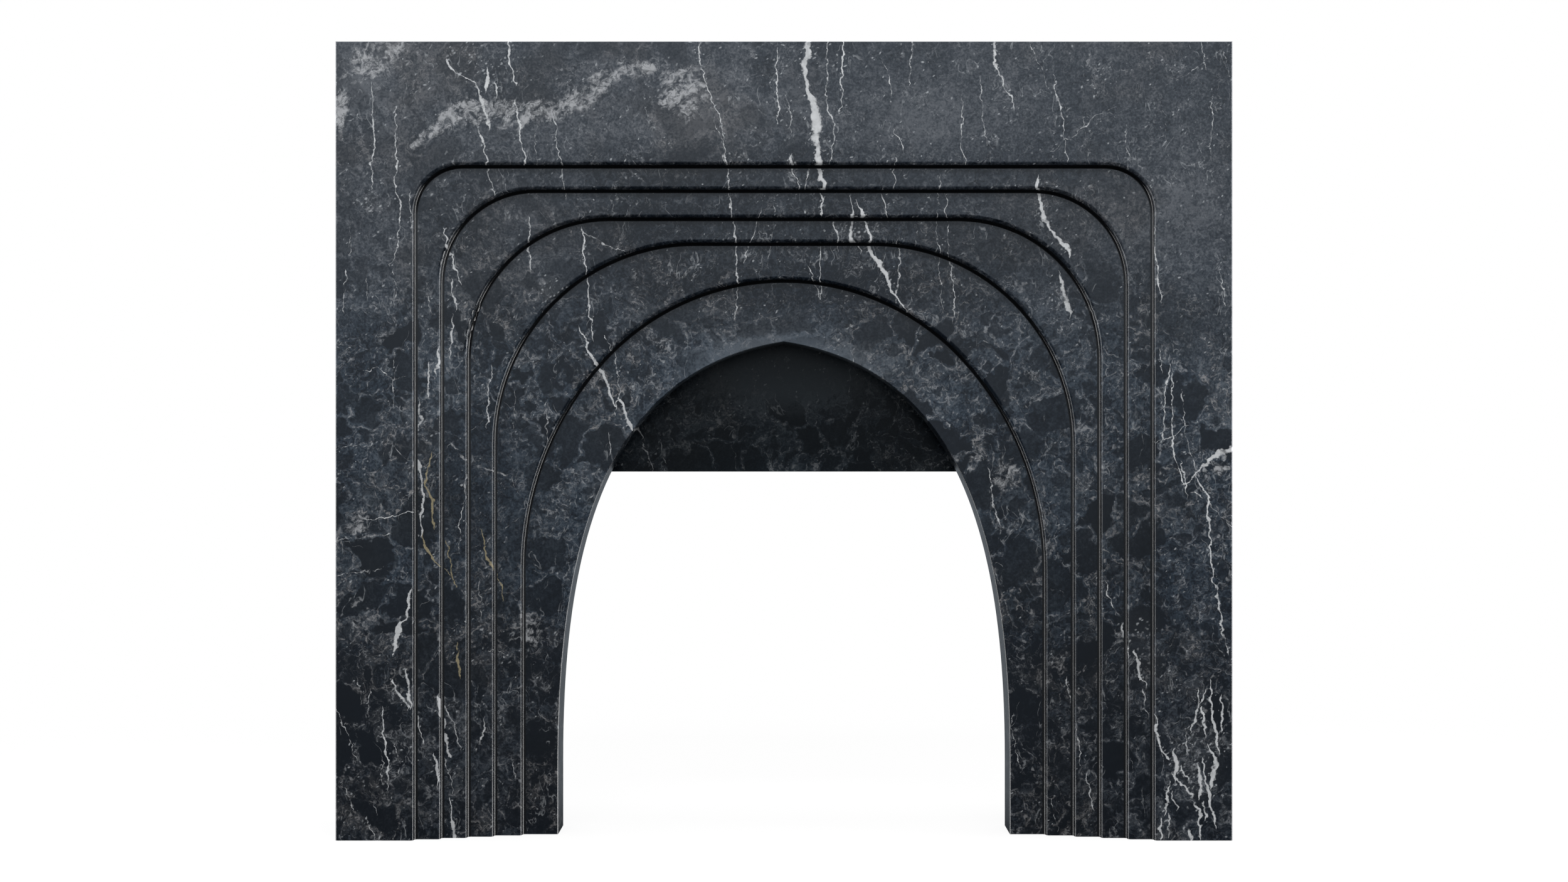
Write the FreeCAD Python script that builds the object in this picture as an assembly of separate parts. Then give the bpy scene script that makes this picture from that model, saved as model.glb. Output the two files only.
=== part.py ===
import FreeCAD, Part
import os
from math import hypot
from FreeCAD import Vector

# Stepped marble fireplace surround, in millimetres.
# X runs along the face, Y from the face back to the wall, Z up from the floor.
# The origin is on the floor, in the middle of the width and of the depth.

# Overall size
width = 1400.0
height = 1247.0
depth = 225.0

# Slab thicknesses
layer_thickness = 12.0
return_thickness = 20.0
top_thickness = 20.0
panel_thickness = 15.0

# Flat faces beside each step, from the outer edge in to the arch at the floor
front_jamb_face = 121.6
second_jamb_face = 40.0
third_jamb_face = 40.0
fourth_jamb_face = 40.2
fifth_jamb_face = 43.7
arch_jamb_face = 56.3

# Flat faces above each step, from the top edge down to the crown of the arch
front_head_face = 192.4
second_head_face = 37.1
third_head_face = 43.0
fourth_head_face = 38.1
fifth_head_face = 57.2
arch_head_face = 98.4

# Corners of the steps: four round ones, then a three-centred arch of this rise
first_corner_radius = 75.0
second_corner_radius = 147.0
third_corner_radius = 222.0
fourth_corner_radius = 317.0
fifth_crown_rise = 457.0

# Edges of the steps
arris_radius = 5.0
cove_radius = 5.0
rebate_width = 2.5
eased_edge = 1.5

# Inner arch of solid stone
arch_depth = 87.0
arch_lap = 45.0
arch_leg_height = 109.0
arch_leg_pull = 337.0
arch_shoulder_inset = 66.0
arch_crown_drop = 44.0
arch_edge = 1.0

# Height of the clear fire opening under the back panel
panel_underside = 573.0

# Stone blocks that bond and carry the slabs from inside
corner_block_size = 40.0
corner_block_length = 120.0
corner_block_margin = 90.0
head_block_length = 160.0
head_block_spread = 620.0
cleat_size = 20.0
spacer_width = 60.0
spacer_height = 70.0
spacer_rise = 12.0
spacer_inset = 75.0

# Stainless dowels in the arch joints
dowel_diameter = 10.0
dowel_length = 80.0
dowel_clearance = 0.2
dowel_end_clearance = 0.5
dowel_spread = 44.0
spring_dowel_inset = 62.0
crown_dowel_inset = 55.0

# Wall brackets of steel angle, and their screws
bracket_leg = 40.0
bracket_thickness = 4.0
bracket_length = 60.0
bracket_bend_radius = 4.0
lower_bracket_height = 160.0
upper_bracket_height = 480.0
wall_hole_diameter = 9.0
wall_hole_inset = 16.0
screw_diameter = 5.0
screw_length = 14.0
screw_clearance = 0.2
screw_head_diameter = 10.0
screw_head_height = 3.0
screw_head_bevel = 1.2
screw_spread = 34.0
screw_inset = 15.0

# Spare length that a cutting body runs past the stone, and the error allowed when an edge is looked up
overrun = 20.0
lookup_error = 0.01

# Worked-out places
half_width = width / 2
front = -depth / 2
back = depth / 2
inner_half_width = half_width - return_thickness
inner_height = height - top_thickness
panel_front = back - panel_thickness

jamb_faces = [front_jamb_face, second_jamb_face, third_jamb_face, fourth_jamb_face, fifth_jamb_face]
head_faces = [front_head_face, second_head_face, third_head_face, fourth_head_face, fifth_head_face]
corner_radii = [first_corner_radius, second_corner_radius, third_corner_radius, fourth_corner_radius]
layer_names = ["front", "second", "third", "fourth", "fifth"]
cove_names = ["first", "second", "third", "fourth", "fifth"]

opening_halves = [half_width - sum(jamb_faces[: n + 1]) for n in range(len(jamb_faces))]
opening_tops = [height - sum(head_faces[: n + 1]) for n in range(len(head_faces))]
layer_fronts = [front + n * layer_thickness for n in range(len(jamb_faces))]
stack_back = front + len(jamb_faces) * layer_thickness

fifth_half = opening_halves[-1]
fifth_top = opening_tops[-1]
fifth_spring = fifth_top - fifth_crown_rise

arch_half = fifth_half - arch_jamb_face
arch_top = fifth_top - arch_head_face
arch_back = stack_back + arch_depth
arch_outer_half = fifth_half + arch_lap
arch_outer_top = fifth_top + arch_lap
arch_middle = (stack_back + arch_back) / 2


def point(x, y, z):
    return Vector(x, y, z)


def near(a, b):
    return abs(a - b) < lookup_error


def box(x0, x1, y0, y1, z0, z1):
    """Block between two corners."""
    return Part.makeBox(x1 - x0, y1 - y0, z1 - z0, point(x0, y0, z0))


def line(a, b):
    return Part.LineSegment(a, b).toShape()


def round_corner(start, middle_of_circle, end):
    """Arc of less than half a circle, from start to end about a given middle."""
    chord = (start + end) / 2
    outward = (chord - middle_of_circle).normalize()
    radius = (start - middle_of_circle).Length
    return Part.Arc(start, middle_of_circle + outward * radius, end).toShape()


def round_outline(half, top, radius, y, foot):
    """Open outline of a step with two round corners, from the left foot to the right foot."""
    spring = top - radius
    flat = half - radius
    left_foot = point(-half, y, foot)
    left_spring = point(-half, y, spring)
    left_flat = point(-flat, y, top)
    right_flat = point(flat, y, top)
    right_spring = point(half, y, spring)
    right_foot = point(half, y, foot)
    return [
        line(left_foot, left_spring),
        round_corner(left_spring, point(-flat, y, spring), left_flat),
        line(left_flat, right_flat),
        round_corner(right_flat, point(flat, y, spring), right_spring),
        line(right_spring, right_foot),
    ]


def basket_outline(grow, y, foot):
    """Outline of the fifth step, or one outside it by grow: a three-centred arch on straight legs."""
    diagonal = hypot(fifth_half, fifth_crown_rise)
    crown_part = (diagonal + fifth_half - fifth_crown_rise) / 2
    crown_radius = grow + crown_part * diagonal / fifth_crown_rise
    flank_radius = grow + (diagonal - crown_part) * diagonal / fifth_half
    half = fifth_half + grow
    crown_middle = point(0, y, fifth_top + grow - crown_radius)
    legs = []
    flanks = []
    touches = []
    for side in (-1, 1):
        spring = point(side * half, y, fifth_spring)
        flank_middle = point(side * (half - flank_radius), y, fifth_spring)
        turn = Vector(side * fifth_crown_rise, 0, fifth_half).normalize()
        touch = crown_middle + turn * crown_radius
        legs.append(line(point(side * half, y, foot), spring))
        flanks.append(round_corner(spring, flank_middle, touch))
        touches.append(touch)
    crown = round_corner(touches[0], crown_middle, touches[1])
    return [legs[0], flanks[0], crown, flanks[1], legs[1]]


def arch_outline(grow, y, foot):
    """Outline of the inner arch, or one outside it by grow: straight legs and a faintly pointed crown."""
    half = arch_half + grow
    top = arch_top + grow
    halves = []
    for side in (-1, 1):
        leg_top = point(side * half, y, arch_leg_height)
        curve = Part.BezierCurve()
        curve.setPoles(
            [
                leg_top,
                point(side * half, y, arch_leg_height + arch_leg_pull),
                point(side * (half - arch_shoulder_inset), y, top - arch_crown_drop),
                point(0, y, top),
            ]
        )
        halves.append([line(point(side * half, y, foot), leg_top), curve.toShape()])
    return halves[0] + halves[1][::-1]


def step_outline(n, grow, y, foot):
    """Outline of step n at depth y, or one outside it by grow, with its feet at a given height."""
    if n < len(corner_radii):
        return round_outline(
            opening_halves[n] + grow, opening_tops[n] + grow, corner_radii[n] + grow, y, foot
        )
    return basket_outline(grow, y, foot)


def joint_height(n):
    """Height where the jambs of layer n end and its header starts: where its corners spring."""
    if n < len(corner_radii):
        return opening_tops[n] - corner_radii[n]
    return fifth_spring


def closed_wire(edges):
    """An open outline, closed along its feet."""
    wire = Part.Wire(Part.__sortEdges__(edges))
    ends = [v.Point for v in wire.OrderedVertexes]
    return Part.Wire(Part.__sortEdges__(edges + [line(ends[-1], ends[0])]))


def prism(edges, thickness):
    """Body behind an open outline."""
    return Part.Face(closed_wire(edges)).extrude(Vector(0, thickness, 0))


def edges_within(shape, y, half, top):
    """Edges that lie in the plane y and inside the outline's width and height."""
    chosen = []
    for edge in shape.Edges:
        bounds = edge.BoundBox
        flat = near(bounds.YMin, y) and near(bounds.YMax, y)
        reach = max(-bounds.XMin, bounds.XMax)
        if flat and reach < half + lookup_error and bounds.ZMax < top + lookup_error:
            chosen.append(edge)
    return chosen


def outer_edges(shape, y):
    """Left, right and top edges of the front face."""
    chosen = []
    for edge in shape.Edges:
        bounds = edge.BoundBox
        flat = near(bounds.YMin, y) and near(bounds.YMax, y)
        at_side = near(bounds.XMax, -half_width) or near(bounds.XMin, half_width)
        at_top = near(bounds.ZMin, height)
        if flat and (at_side or at_top):
            chosen.append(edge)
    return chosen


def layer(n):
    """One stepped layer, before it is cut into jambs and header."""
    y = layer_fronts[n]
    outer_half = half_width if n == 0 else inner_half_width
    outer_top = height if n == 0 else inner_height
    slab = box(-outer_half, outer_half, y, y + layer_thickness, 0, outer_top)
    opening = prism(step_outline(n, 0, y - overrun, -overrun), layer_thickness + 2 * overrun)
    body = slab.cut(opening)
    body = body.makeFillet(arris_radius, edges_within(body, y, opening_halves[n], opening_tops[n]))
    body = body.cut(rebate(n, -overrun))
    if n == 0:
        body = body.makeChamfer(eased_edge, outer_edges(body, y))
    return body


def cut_layer(body, joint):
    """Left jamb, right jamb and header of a layer, cut at one height."""
    y0 = front - overrun
    y1 = back + overrun
    left = body.common(box(-half_width, 0, y0, y1, 0, joint))
    right = body.common(box(0, half_width, y0, y1, 0, joint))
    header = body.common(box(-half_width, half_width, y0, y1, joint, height))
    return left, right, header


def rebate(n, foot):
    """Room for the cove of step n, cut into the back of the step's edge."""
    lip = layer_fronts[n] + layer_thickness - cove_radius
    return prism(step_outline(n, rebate_width, lip, foot), cove_radius)


def cove(n):
    """Resin in the rebate of step n, hollow in the corner where it meets the face behind."""
    seat = layer_fronts[n] + layer_thickness
    hollow = prism(step_outline(n, 0, seat - 2 * cove_radius, -overrun), 2 * cove_radius)
    around = edges_within(hollow, seat, opening_halves[n], opening_tops[n])
    above_foot = [edge for edge in around if edge.BoundBox.ZMax > 0]
    return rebate(n, 0).cut(hollow.makeFillet(cove_radius, above_foot))


def dowel_places():
    """Middle and direction of each arch dowel."""
    places = []
    for step in (-1, 1):
        y = arch_middle + step * dowel_spread / 2
        for side in (-1, 1):
            x = side * (arch_outer_half - spring_dowel_inset)
            places.append((point(x, y, fifth_spring), Vector(0, 0, 1)))
        places.append((point(0, y, arch_outer_top - crown_dowel_inset), Vector(1, 0, 0)))
    return places


def rod(middle, direction, diameter, length):
    """Round bar centred on a point."""
    return Part.makeCylinder(diameter / 2, length, middle - direction * (length / 2), direction)


def arch():
    """Inner arch ring, drilled for its dowels, before it is cut into four."""
    outside = prism(basket_outline(arch_lap, stack_back, 0), arch_depth)
    inside = prism(arch_outline(0, stack_back - overrun, -overrun), arch_depth + 2 * overrun)
    eased_mouth = Part.makeLoft(
        [
            closed_wire(arch_outline(2 * arch_edge, stack_back - arch_edge, -overrun)),
            closed_wire(arch_outline(0, stack_back + arch_edge, -overrun)),
        ],
        True,
        True,
    )
    ring = outside.cut(inside).cut(eased_mouth)
    for middle, direction in dowel_places():
        hole = rod(
            middle,
            direction,
            dowel_diameter + 2 * dowel_clearance,
            dowel_length + 2 * dowel_end_clearance,
        )
        ring = ring.cut(hole)
    return ring


def cut_arch(ring):
    """Two jambs up to the spring of the curve, and two heads that meet at the crown."""
    y0 = front - overrun
    y1 = back + overrun
    pieces = {}
    for name, x0, x1 in (("left", -half_width, 0), ("right", 0, half_width)):
        pieces["arch_" + name + "_jamb"] = ring.common(box(x0, x1, y0, y1, 0, fifth_spring))
        pieces["arch_" + name + "_head"] = ring.common(box(x0, x1, y0, y1, fifth_spring, height))
    return pieces


def mirrored(shape):
    """The same piece on the other side of the middle."""
    return shape.mirror(Vector(0, 0, 0), Vector(1, 0, 0))


def bracket_heights():
    return {"lower": lower_bracket_height, "upper": upper_bracket_height}


def screw_places(middle_height):
    """Seats of a right-hand bracket's screws, on its leg along the return."""
    x = inner_half_width - bracket_thickness
    y = back - bracket_leg + screw_inset
    return [point(x, y, middle_height + step * screw_spread / 2) for step in (-1, 1)]


def bracket(middle_height):
    """Right-hand steel angle: one leg on the return, one flat against the wall."""
    z0 = middle_height - bracket_length / 2
    z1 = middle_height + bracket_length / 2
    inner = inner_half_width - bracket_thickness
    side_leg = box(inner, inner_half_width, back - bracket_leg, back, z0, z1)
    wall_leg = box(inner_half_width - bracket_leg, inner_half_width, back - bracket_thickness, back, z0, z1)
    body = side_leg.fuse(wall_leg).removeSplitter()
    bend = []
    for edge in body.Edges:
        bounds = edge.BoundBox
        upright = near(bounds.XLength, 0) and near(bounds.YLength, 0)
        if upright and near(bounds.XMin, inner) and near(bounds.YMin, back - bracket_thickness):
            bend.append(edge)
    body = body.makeFillet(bracket_bend_radius, bend)
    wall_hole = rod(
        point(inner_half_width - bracket_leg + wall_hole_inset, back, middle_height),
        Vector(0, 1, 0),
        wall_hole_diameter,
        2 * overrun,
    )
    body = body.cut(wall_hole)
    for seat in screw_places(middle_height):
        body = body.cut(rod(seat, Vector(1, 0, 0), screw_diameter + 2 * screw_clearance, 2 * overrun))
    return body


def screw(seat):
    """Screw with a bevelled flat head on the bracket and its shank in the return."""
    shank = Part.makeCylinder(screw_diameter / 2, screw_length, seat, Vector(1, 0, 0))
    head = Part.makeCylinder(screw_head_diameter / 2, screw_head_height, seat, Vector(-1, 0, 0))
    rim = [edge for edge in head.Edges if near(edge.BoundBox.XMax, seat.x - screw_head_height)]
    head = head.makeChamfer(screw_head_bevel, rim)
    return head.fuse(shank).removeSplitter()


def side_return():
    """Right-hand return slab, drilled for the bracket screws."""
    slab = box(inner_half_width, half_width, front + layer_thickness, back, 0, inner_height)
    for middle_height in bracket_heights().values():
        for seat in screw_places(middle_height):
            hole = Part.makeCylinder(
                screw_diameter / 2 + screw_clearance,
                screw_length + screw_clearance,
                seat,
                Vector(1, 0, 0),
            )
            slab = slab.cut(hole)
    return slab


def corner_blocks():
    """Right-hand blocks in the corner between the layers and the return."""
    low = corner_block_margin
    high = inner_height - corner_block_margin - corner_block_length
    bottoms = {"lower": low, "middle": (low + high) / 2, "upper": high}
    return {
        name: box(
            inner_half_width - corner_block_size,
            inner_half_width,
            stack_back,
            stack_back + corner_block_size,
            z,
            z + corner_block_length,
        )
        for name, z in bottoms.items()
    }


def head_block():
    """Right-hand block in the corner between the layers and the top slab."""
    middle = head_block_spread / 2
    return box(
        middle - head_block_length / 2,
        middle + head_block_length / 2,
        stack_back,
        stack_back + corner_block_size,
        inner_height - corner_block_size,
        inner_height,
    )


def panel_cleat():
    """Right-hand strip on the return that the back panel is bonded to."""
    return box(
        inner_half_width - cleat_size,
        inner_half_width,
        panel_front - cleat_size,
        panel_front,
        panel_underside + cleat_size,
        inner_height - corner_block_size,
    )


def panel_spacer():
    """Right-hand block between the back of the arch and the back panel."""
    outer = arch_outer_half - spacer_inset
    bottom = panel_underside + spacer_rise
    return box(outer - spacer_width, outer, arch_back, panel_front, bottom, bottom + spacer_height)


def pair(pieces, name, right_piece):
    """Adds a right-hand piece and its mirror image."""
    pieces["right_" + name] = right_piece
    pieces["left_" + name] = mirrored(right_piece)


def assembly():
    """Every piece by its name."""
    pieces = {}
    for n, name in enumerate(layer_names):
        left, right, header = cut_layer(layer(n), joint_height(n))
        pieces[name + "_left_jamb"] = left
        pieces[name + "_right_jamb"] = right
        pieces[name + "_header"] = header
        pieces[cove_names[n] + "_cove"] = cove(n)
    pieces.update(cut_arch(arch()))
    pieces["arch_dowels"] = Part.makeCompound(
        [rod(middle, direction, dowel_diameter, dowel_length) for middle, direction in dowel_places()]
    )
    pieces["top_slab"] = box(-half_width, half_width, front + layer_thickness, back, inner_height, height)
    pieces["back_panel"] = box(
        -inner_half_width, inner_half_width, panel_front, back, panel_underside, inner_height
    )
    pair(pieces, "return", side_return())
    for name, block in corner_blocks().items():
        pair(pieces, "corner_block_" + name, block)
    pair(pieces, "head_block", head_block())
    pair(pieces, "panel_cleat", panel_cleat())
    pair(pieces, "panel_spacer", panel_spacer())
    screws = []
    for name, middle_height in bracket_heights().items():
        pair(pieces, "wall_bracket_" + name, bracket(middle_height))
        for seat in screw_places(middle_height):
            screws += [screw(seat), mirrored(screw(seat))]
    pieces["bracket_screws"] = Part.makeCompound(screws)
    return pieces


os.makedirs("parts", exist_ok=True)
for node, shape in assembly().items():
    print(node, "solids", len(shape.Solids), "valid", shape.isValid(), "volume", round(shape.Volume))
    shape.exportStep("parts/" + node + ".step")
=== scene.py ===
"""Looks of a stepped marble fireplace surround: stone, resin, steel, wall screws, light and camera."""

import logging
import math
from abc import ABC, abstractmethod
from dataclasses import dataclass
from enum import Enum
from typing import Any, Optional, Sequence, Union

import bpy
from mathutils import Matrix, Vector


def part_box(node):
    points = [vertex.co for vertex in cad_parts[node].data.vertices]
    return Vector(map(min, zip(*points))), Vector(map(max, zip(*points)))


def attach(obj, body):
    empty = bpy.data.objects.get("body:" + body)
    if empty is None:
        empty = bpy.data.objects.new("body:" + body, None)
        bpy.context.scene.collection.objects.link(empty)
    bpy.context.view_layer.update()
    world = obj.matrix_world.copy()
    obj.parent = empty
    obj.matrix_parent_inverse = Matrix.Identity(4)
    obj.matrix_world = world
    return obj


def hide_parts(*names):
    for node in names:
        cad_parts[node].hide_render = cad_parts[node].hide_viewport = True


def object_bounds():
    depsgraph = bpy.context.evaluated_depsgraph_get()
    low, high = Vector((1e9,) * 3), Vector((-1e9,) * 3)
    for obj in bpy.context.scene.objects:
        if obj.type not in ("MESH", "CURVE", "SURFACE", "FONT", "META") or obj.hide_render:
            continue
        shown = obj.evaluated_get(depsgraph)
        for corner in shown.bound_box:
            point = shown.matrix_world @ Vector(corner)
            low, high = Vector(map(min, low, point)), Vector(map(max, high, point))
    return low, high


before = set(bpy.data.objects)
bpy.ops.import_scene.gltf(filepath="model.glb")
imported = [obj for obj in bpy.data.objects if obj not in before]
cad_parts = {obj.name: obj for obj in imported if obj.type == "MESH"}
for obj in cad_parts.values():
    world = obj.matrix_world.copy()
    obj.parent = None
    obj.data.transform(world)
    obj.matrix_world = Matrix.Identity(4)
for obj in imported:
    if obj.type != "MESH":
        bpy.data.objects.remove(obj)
CAD_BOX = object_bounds()

LOG = logging.getLogger("fireplace_surround")
BODY = "root"
MM = 0.001
SIDES = ("left", "right")
SLANT = 40.0

Colour = tuple[float, float, float]
Place = tuple[float, float, float]
# a start and an end, or a base and a share of a value
Span = tuple[float, float]
# size in millimetres, octaves and weight of the finer octaves of a noise
Grain = tuple[float, float, float]
Term = Union["Shade", float, tuple, list]


class Shade:
    """A shader socket that takes part in Python expressions."""

    def __init__(self, graph: "Graph", socket: bpy.types.NodeSocket) -> None:
        """Keeps the tree that the socket belongs to, and the socket."""
        self.graph = graph
        self.socket = socket

    def output(self, name: str) -> "Shade":
        """Another output of the same node."""
        return Shade(self.graph, self.socket.node.outputs[name])

    def __add__(self, other: Term) -> "Shade":
        """The sum."""
        return self.graph.maths("ADD", self, other)

    def __radd__(self, other: Term) -> "Shade":
        """The sum, with this socket second."""
        return self.graph.maths("ADD", other, self)

    def __sub__(self, other: Term) -> "Shade":
        """The difference."""
        return self.graph.maths("SUBTRACT", self, other)

    def __rsub__(self, other: Term) -> "Shade":
        """The difference, with this socket second."""
        return self.graph.maths("SUBTRACT", other, self)

    def __mul__(self, other: Term) -> "Shade":
        """The product."""
        return self.graph.maths("MULTIPLY", self, other)

    def __rmul__(self, other: Term) -> "Shade":
        """The product, with this socket second."""
        return self.graph.maths("MULTIPLY", other, self)

    def __truediv__(self, other: Term) -> "Shade":
        """The quotient."""
        return self.graph.maths("DIVIDE", self, other)

    def __rtruediv__(self, other: Term) -> "Shade":
        """The quotient, with this socket second."""
        return self.graph.maths("DIVIDE", other, self)

    def __abs__(self) -> "Shade":
        """The size without its sign."""
        return self.graph.maths("ABSOLUTE", self)


class Graph:
    """A shader tree that is being built."""

    def __init__(self, tree: bpy.types.NodeTree) -> None:
        """Empties the tree."""
        self.tree = tree
        tree.nodes.clear()

    def node(self, kind: str, settings: Optional[dict[str, Any]] = None,
             sockets: Optional[dict[Any, Term]] = None, output: int = 0) -> Shade:
        """Adds any node.

        Args:
            kind: The node's type.
            settings: Its properties, with stops for a ramp and curves for a curve node.
            sockets: Values or links of its inputs, by name or number.
            output: Number of the output that is wanted.

        Returns:
            That output.
        """
        made = self.tree.nodes.new(kind)
        for name, value in (settings or {}).items():
            if name == "stops":
                self.set_stops(made.color_ramp, value)
            elif name == "curves":
                self.set_curves(made.mapping, value)
            else:
                setattr(made, name, value)
        for key, term in (sockets or {}).items():
            socket = made.inputs[key]
            if isinstance(term, (Shade, list)):
                for one in term if isinstance(term, list) else [term]:
                    self.tree.links.new(one.socket, socket)
            elif isinstance(term, tuple) and socket.type == "RGBA":
                socket.default_value = (*term, 1.0)
            elif socket.type == "VECTOR" and not isinstance(term, tuple):
                socket.default_value = (term, term, term)
            else:
                socket.default_value = term
        return Shade(self, made.outputs[output] if made.outputs else None)

    @staticmethod
    def set_stops(ramp: bpy.types.ColorRamp, stops: Sequence[tuple[float, Colour]]) -> None:
        """Gives a colour ramp its stops.

        Args:
            ramp: The ramp, with its two first stops.
            stops: Place and colour of each stop, in order.
        """
        while len(ramp.elements) < len(stops):
            ramp.elements.new(1.0)
        for element, (place, colour) in zip(ramp.elements, stops):
            element.position = place
            element.color = (*colour, 1.0)

    @staticmethod
    def set_curves(mapping: bpy.types.CurveMapping, curves: Sequence[Sequence[tuple[float, float]]]) -> None:
        """Gives the red, green and blue curves their points, with straight runs between them.

        Args:
            mapping: The curve node's mapping.
            curves: For each curve, its points from 0 to 1, in order.
        """
        for curve, points in zip(mapping.curves, curves):
            curve.points[0].location = points[0]
            curve.points[1].location = points[-1]
            for place, value in points[1:-1]:
                curve.points.new(place, value)
            for point in curve.points:
                point.handle_type = "VECTOR"
        mapping.update()

    def maths(self, operation: str, *terms: Term) -> Shade:
        """Adds one step of arithmetic, on vectors where a term is one.

        Args:
            operation: Name of the step.
            terms: Its terms.

        Returns:
            The result.
        """
        kinds = {term.socket.type for term in terms if isinstance(term, Shade)}
        vectors = any(isinstance(term, tuple) for term in terms) or kinds & {"VECTOR", "RGBA"}
        kind = "ShaderNodeVectorMath" if vectors else "ShaderNodeMath"
        return self.node(kind, {"operation": operation}, dict(enumerate(terms)))

    def largest(self, terms: Sequence[Term]) -> Term:
        """The largest of several masks.

        Args:
            terms: The masks; a plain number stands for a mask that isn't there.

        Returns:
            The largest, or 0 where there is none.
        """
        masks = [term for term in terms if isinstance(term, Shade)]
        result: Term = masks[0] if masks else 0.0
        for mask in masks[1:]:
            result = self.maths("MAXIMUM", result, mask)
        return result

    def rise(self, value: Shade, low: Term, high: Term) -> Shade:
        """Goes smoothly from 0 at low to 1 at high, or the other way where low is the higher.

        Args:
            value: The value that is judged.
            low: Where the result is 0.
            high: Where the result is 1.

        Returns:
            The result.
        """
        return self.node("ShaderNodeMapRange", {"interpolation_type": "SMOOTHSTEP"},
                         {"Value": value, "From Min": low, "From Max": high})

    def mix(self, factor: Term, first: Term, second: Term) -> Shade:
        """Mixes two colours.

        Args:
            factor: Share of the second.
            first: The first colour.
            second: The second colour.

        Returns:
            The mixed colour.
        """
        return self.node("ShaderNodeMix", {"data_type": "RGBA"}, {0: factor, 6: first, 7: second}, output=2)

    def place(self) -> Shade:
        """The piece's own coordinates, in millimetres."""
        return self.node("ShaderNodeTexCoord").output("Object") * (1.0 / MM)

    def noise(self, place: Shade, size: float, detail: float, rough: float, output: int = 0) -> Shade:
        """Cloudy noise.

        Args:
            place: Where it is read, in millimetres.
            size: Size of its largest features, in millimetres.
            detail: Octaves of finer detail.
            rough: Weight of the finer octaves.
            output: 0 for the value and 1 for the colour.

        Returns:
            The noise, about 0.5.
        """
        return self.node("ShaderNodeTexNoise", {"noise_dimensions": "3D"},
                         {"Vector": place, "Scale": 1.0 / size, "Detail": detail, "Roughness": rough}, output)

    def swing(self, place: Shade, grain: Grain, output: int = 0) -> Shade:
        """Cloudy noise about 0."""
        return self.noise(place, *grain, output=output) - 0.5

    def threads(self, place: Shade, grain: Grain, width: Span) -> Shade:
        """Thin winding lines, along the middle values of a noise."""
        return self.rise(abs(self.swing(place, grain)), *width)

    def cells(self, place: Shade, size: float, feature: str, output: int = 0) -> Shade:
        """Crystal-like cells.

        Args:
            place: Where they are read, in millimetres.
            size: Size of a cell, in millimetres.
            feature: What is measured, such as the distance to the nearest edge.
            output: 0 for that distance and 1 for the cell's own colour.

        Returns:
            The measure.
        """
        return self.node("ShaderNodeTexVoronoi", {"feature": feature, "voronoi_dimensions": "3D"},
                         {"Vector": place, "Scale": 1.0 / size}, output)

    def cell_numbers(self, place: Shade, size: float) -> Shade:
        """Random numbers of the cell about a place, as red, green and blue."""
        return self.node("ShaderNodeSeparateColor", None, {0: self.cells(place, size, "F1", 1)})

    def bump(self, height: Shade, strength: float, depth: float) -> Shade:
        """A surface direction that follows a relief, with its depth in metres."""
        return self.node("ShaderNodeBump", None, {"Strength": strength, "Distance": depth, "Height": height})

    def seen(self) -> Shade:
        """1 for rays from the camera, also by way of gloss and glass."""
        rays = self.node("ShaderNodeLightPath")
        direct = rays.output("Is Camera Ray") + rays.output("Is Glossy Ray")
        return direct + rays.output("Is Transmission Ray")

    def length(self, vector: Shade) -> Shade:
        """The length of a vector."""
        return self.node("ShaderNodeVectorMath", {"operation": "LENGTH"}, {0: vector}, output=1)

    def parts(self, vector: Shade) -> tuple[Shade, Shade, Shade]:
        """The three components of a vector."""
        split = self.node("ShaderNodeSeparateXYZ", None, {0: vector})
        return split, split.output("Y"), split.output("Z")

    def joined(self, x: Term, y: Term, z: Term) -> Shade:
        """A vector of three components."""
        return self.node("ShaderNodeCombineXYZ", None, {0: x, 1: y, 2: z})


class Run(Enum):
    """The way that a drawn vein runs over the slab."""

    UPRIGHT = "upright"
    LEVEL = "level"


class Bloom(Enum):
    """What a patch of the slab shows."""

    CLOUD = "cloud"
    FLECKS = "flecks"
    # pale haze, partly the stone's own and partly painted light on the upper face and the panel
    MIST = "mist"
    # the stone's dark spots, and painted shade on the recessed steps, the panel and low on the jambs
    DARK = "dark"
    PLAIN = "plain"


class Stretch(Enum):
    """A stretch of the polished face, cut from the slab in one."""

    LEFT = "left"
    RIGHT = "right"
    HEAD = "head"


class Unpolished(Enum):
    """Which faces of a stone piece are left as the saw leaves them."""

    BACK = "back"
    INSIDE = "inside"


@dataclass(frozen=True)
class Vein:
    """A drawn vein: its whiteness, and places on it as across, height and half width in millimetres."""

    white: float
    places: tuple[Place, ...]

    def extent(self) -> tuple[float, float, float, float]:
        """Its least and greatest place across, then its least and greatest height."""
        across, heights, _ = zip(*self.places)
        return min(across), max(across), min(heights), max(heights)


@dataclass(frozen=True)
class Patch:
    """An oval patch of the slab, in millimetres and degrees."""

    bloom: Bloom
    across: float
    height: float
    half_width: float
    half_height: float
    turn: float
    strength: float

    def extent(self) -> tuple[float, float, float, float]:
        """Its least and greatest place across, then its least and greatest height."""
        reach = max(self.half_width, self.half_height)
        return self.across - reach, self.across + reach, self.height - reach, self.height + reach


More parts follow.
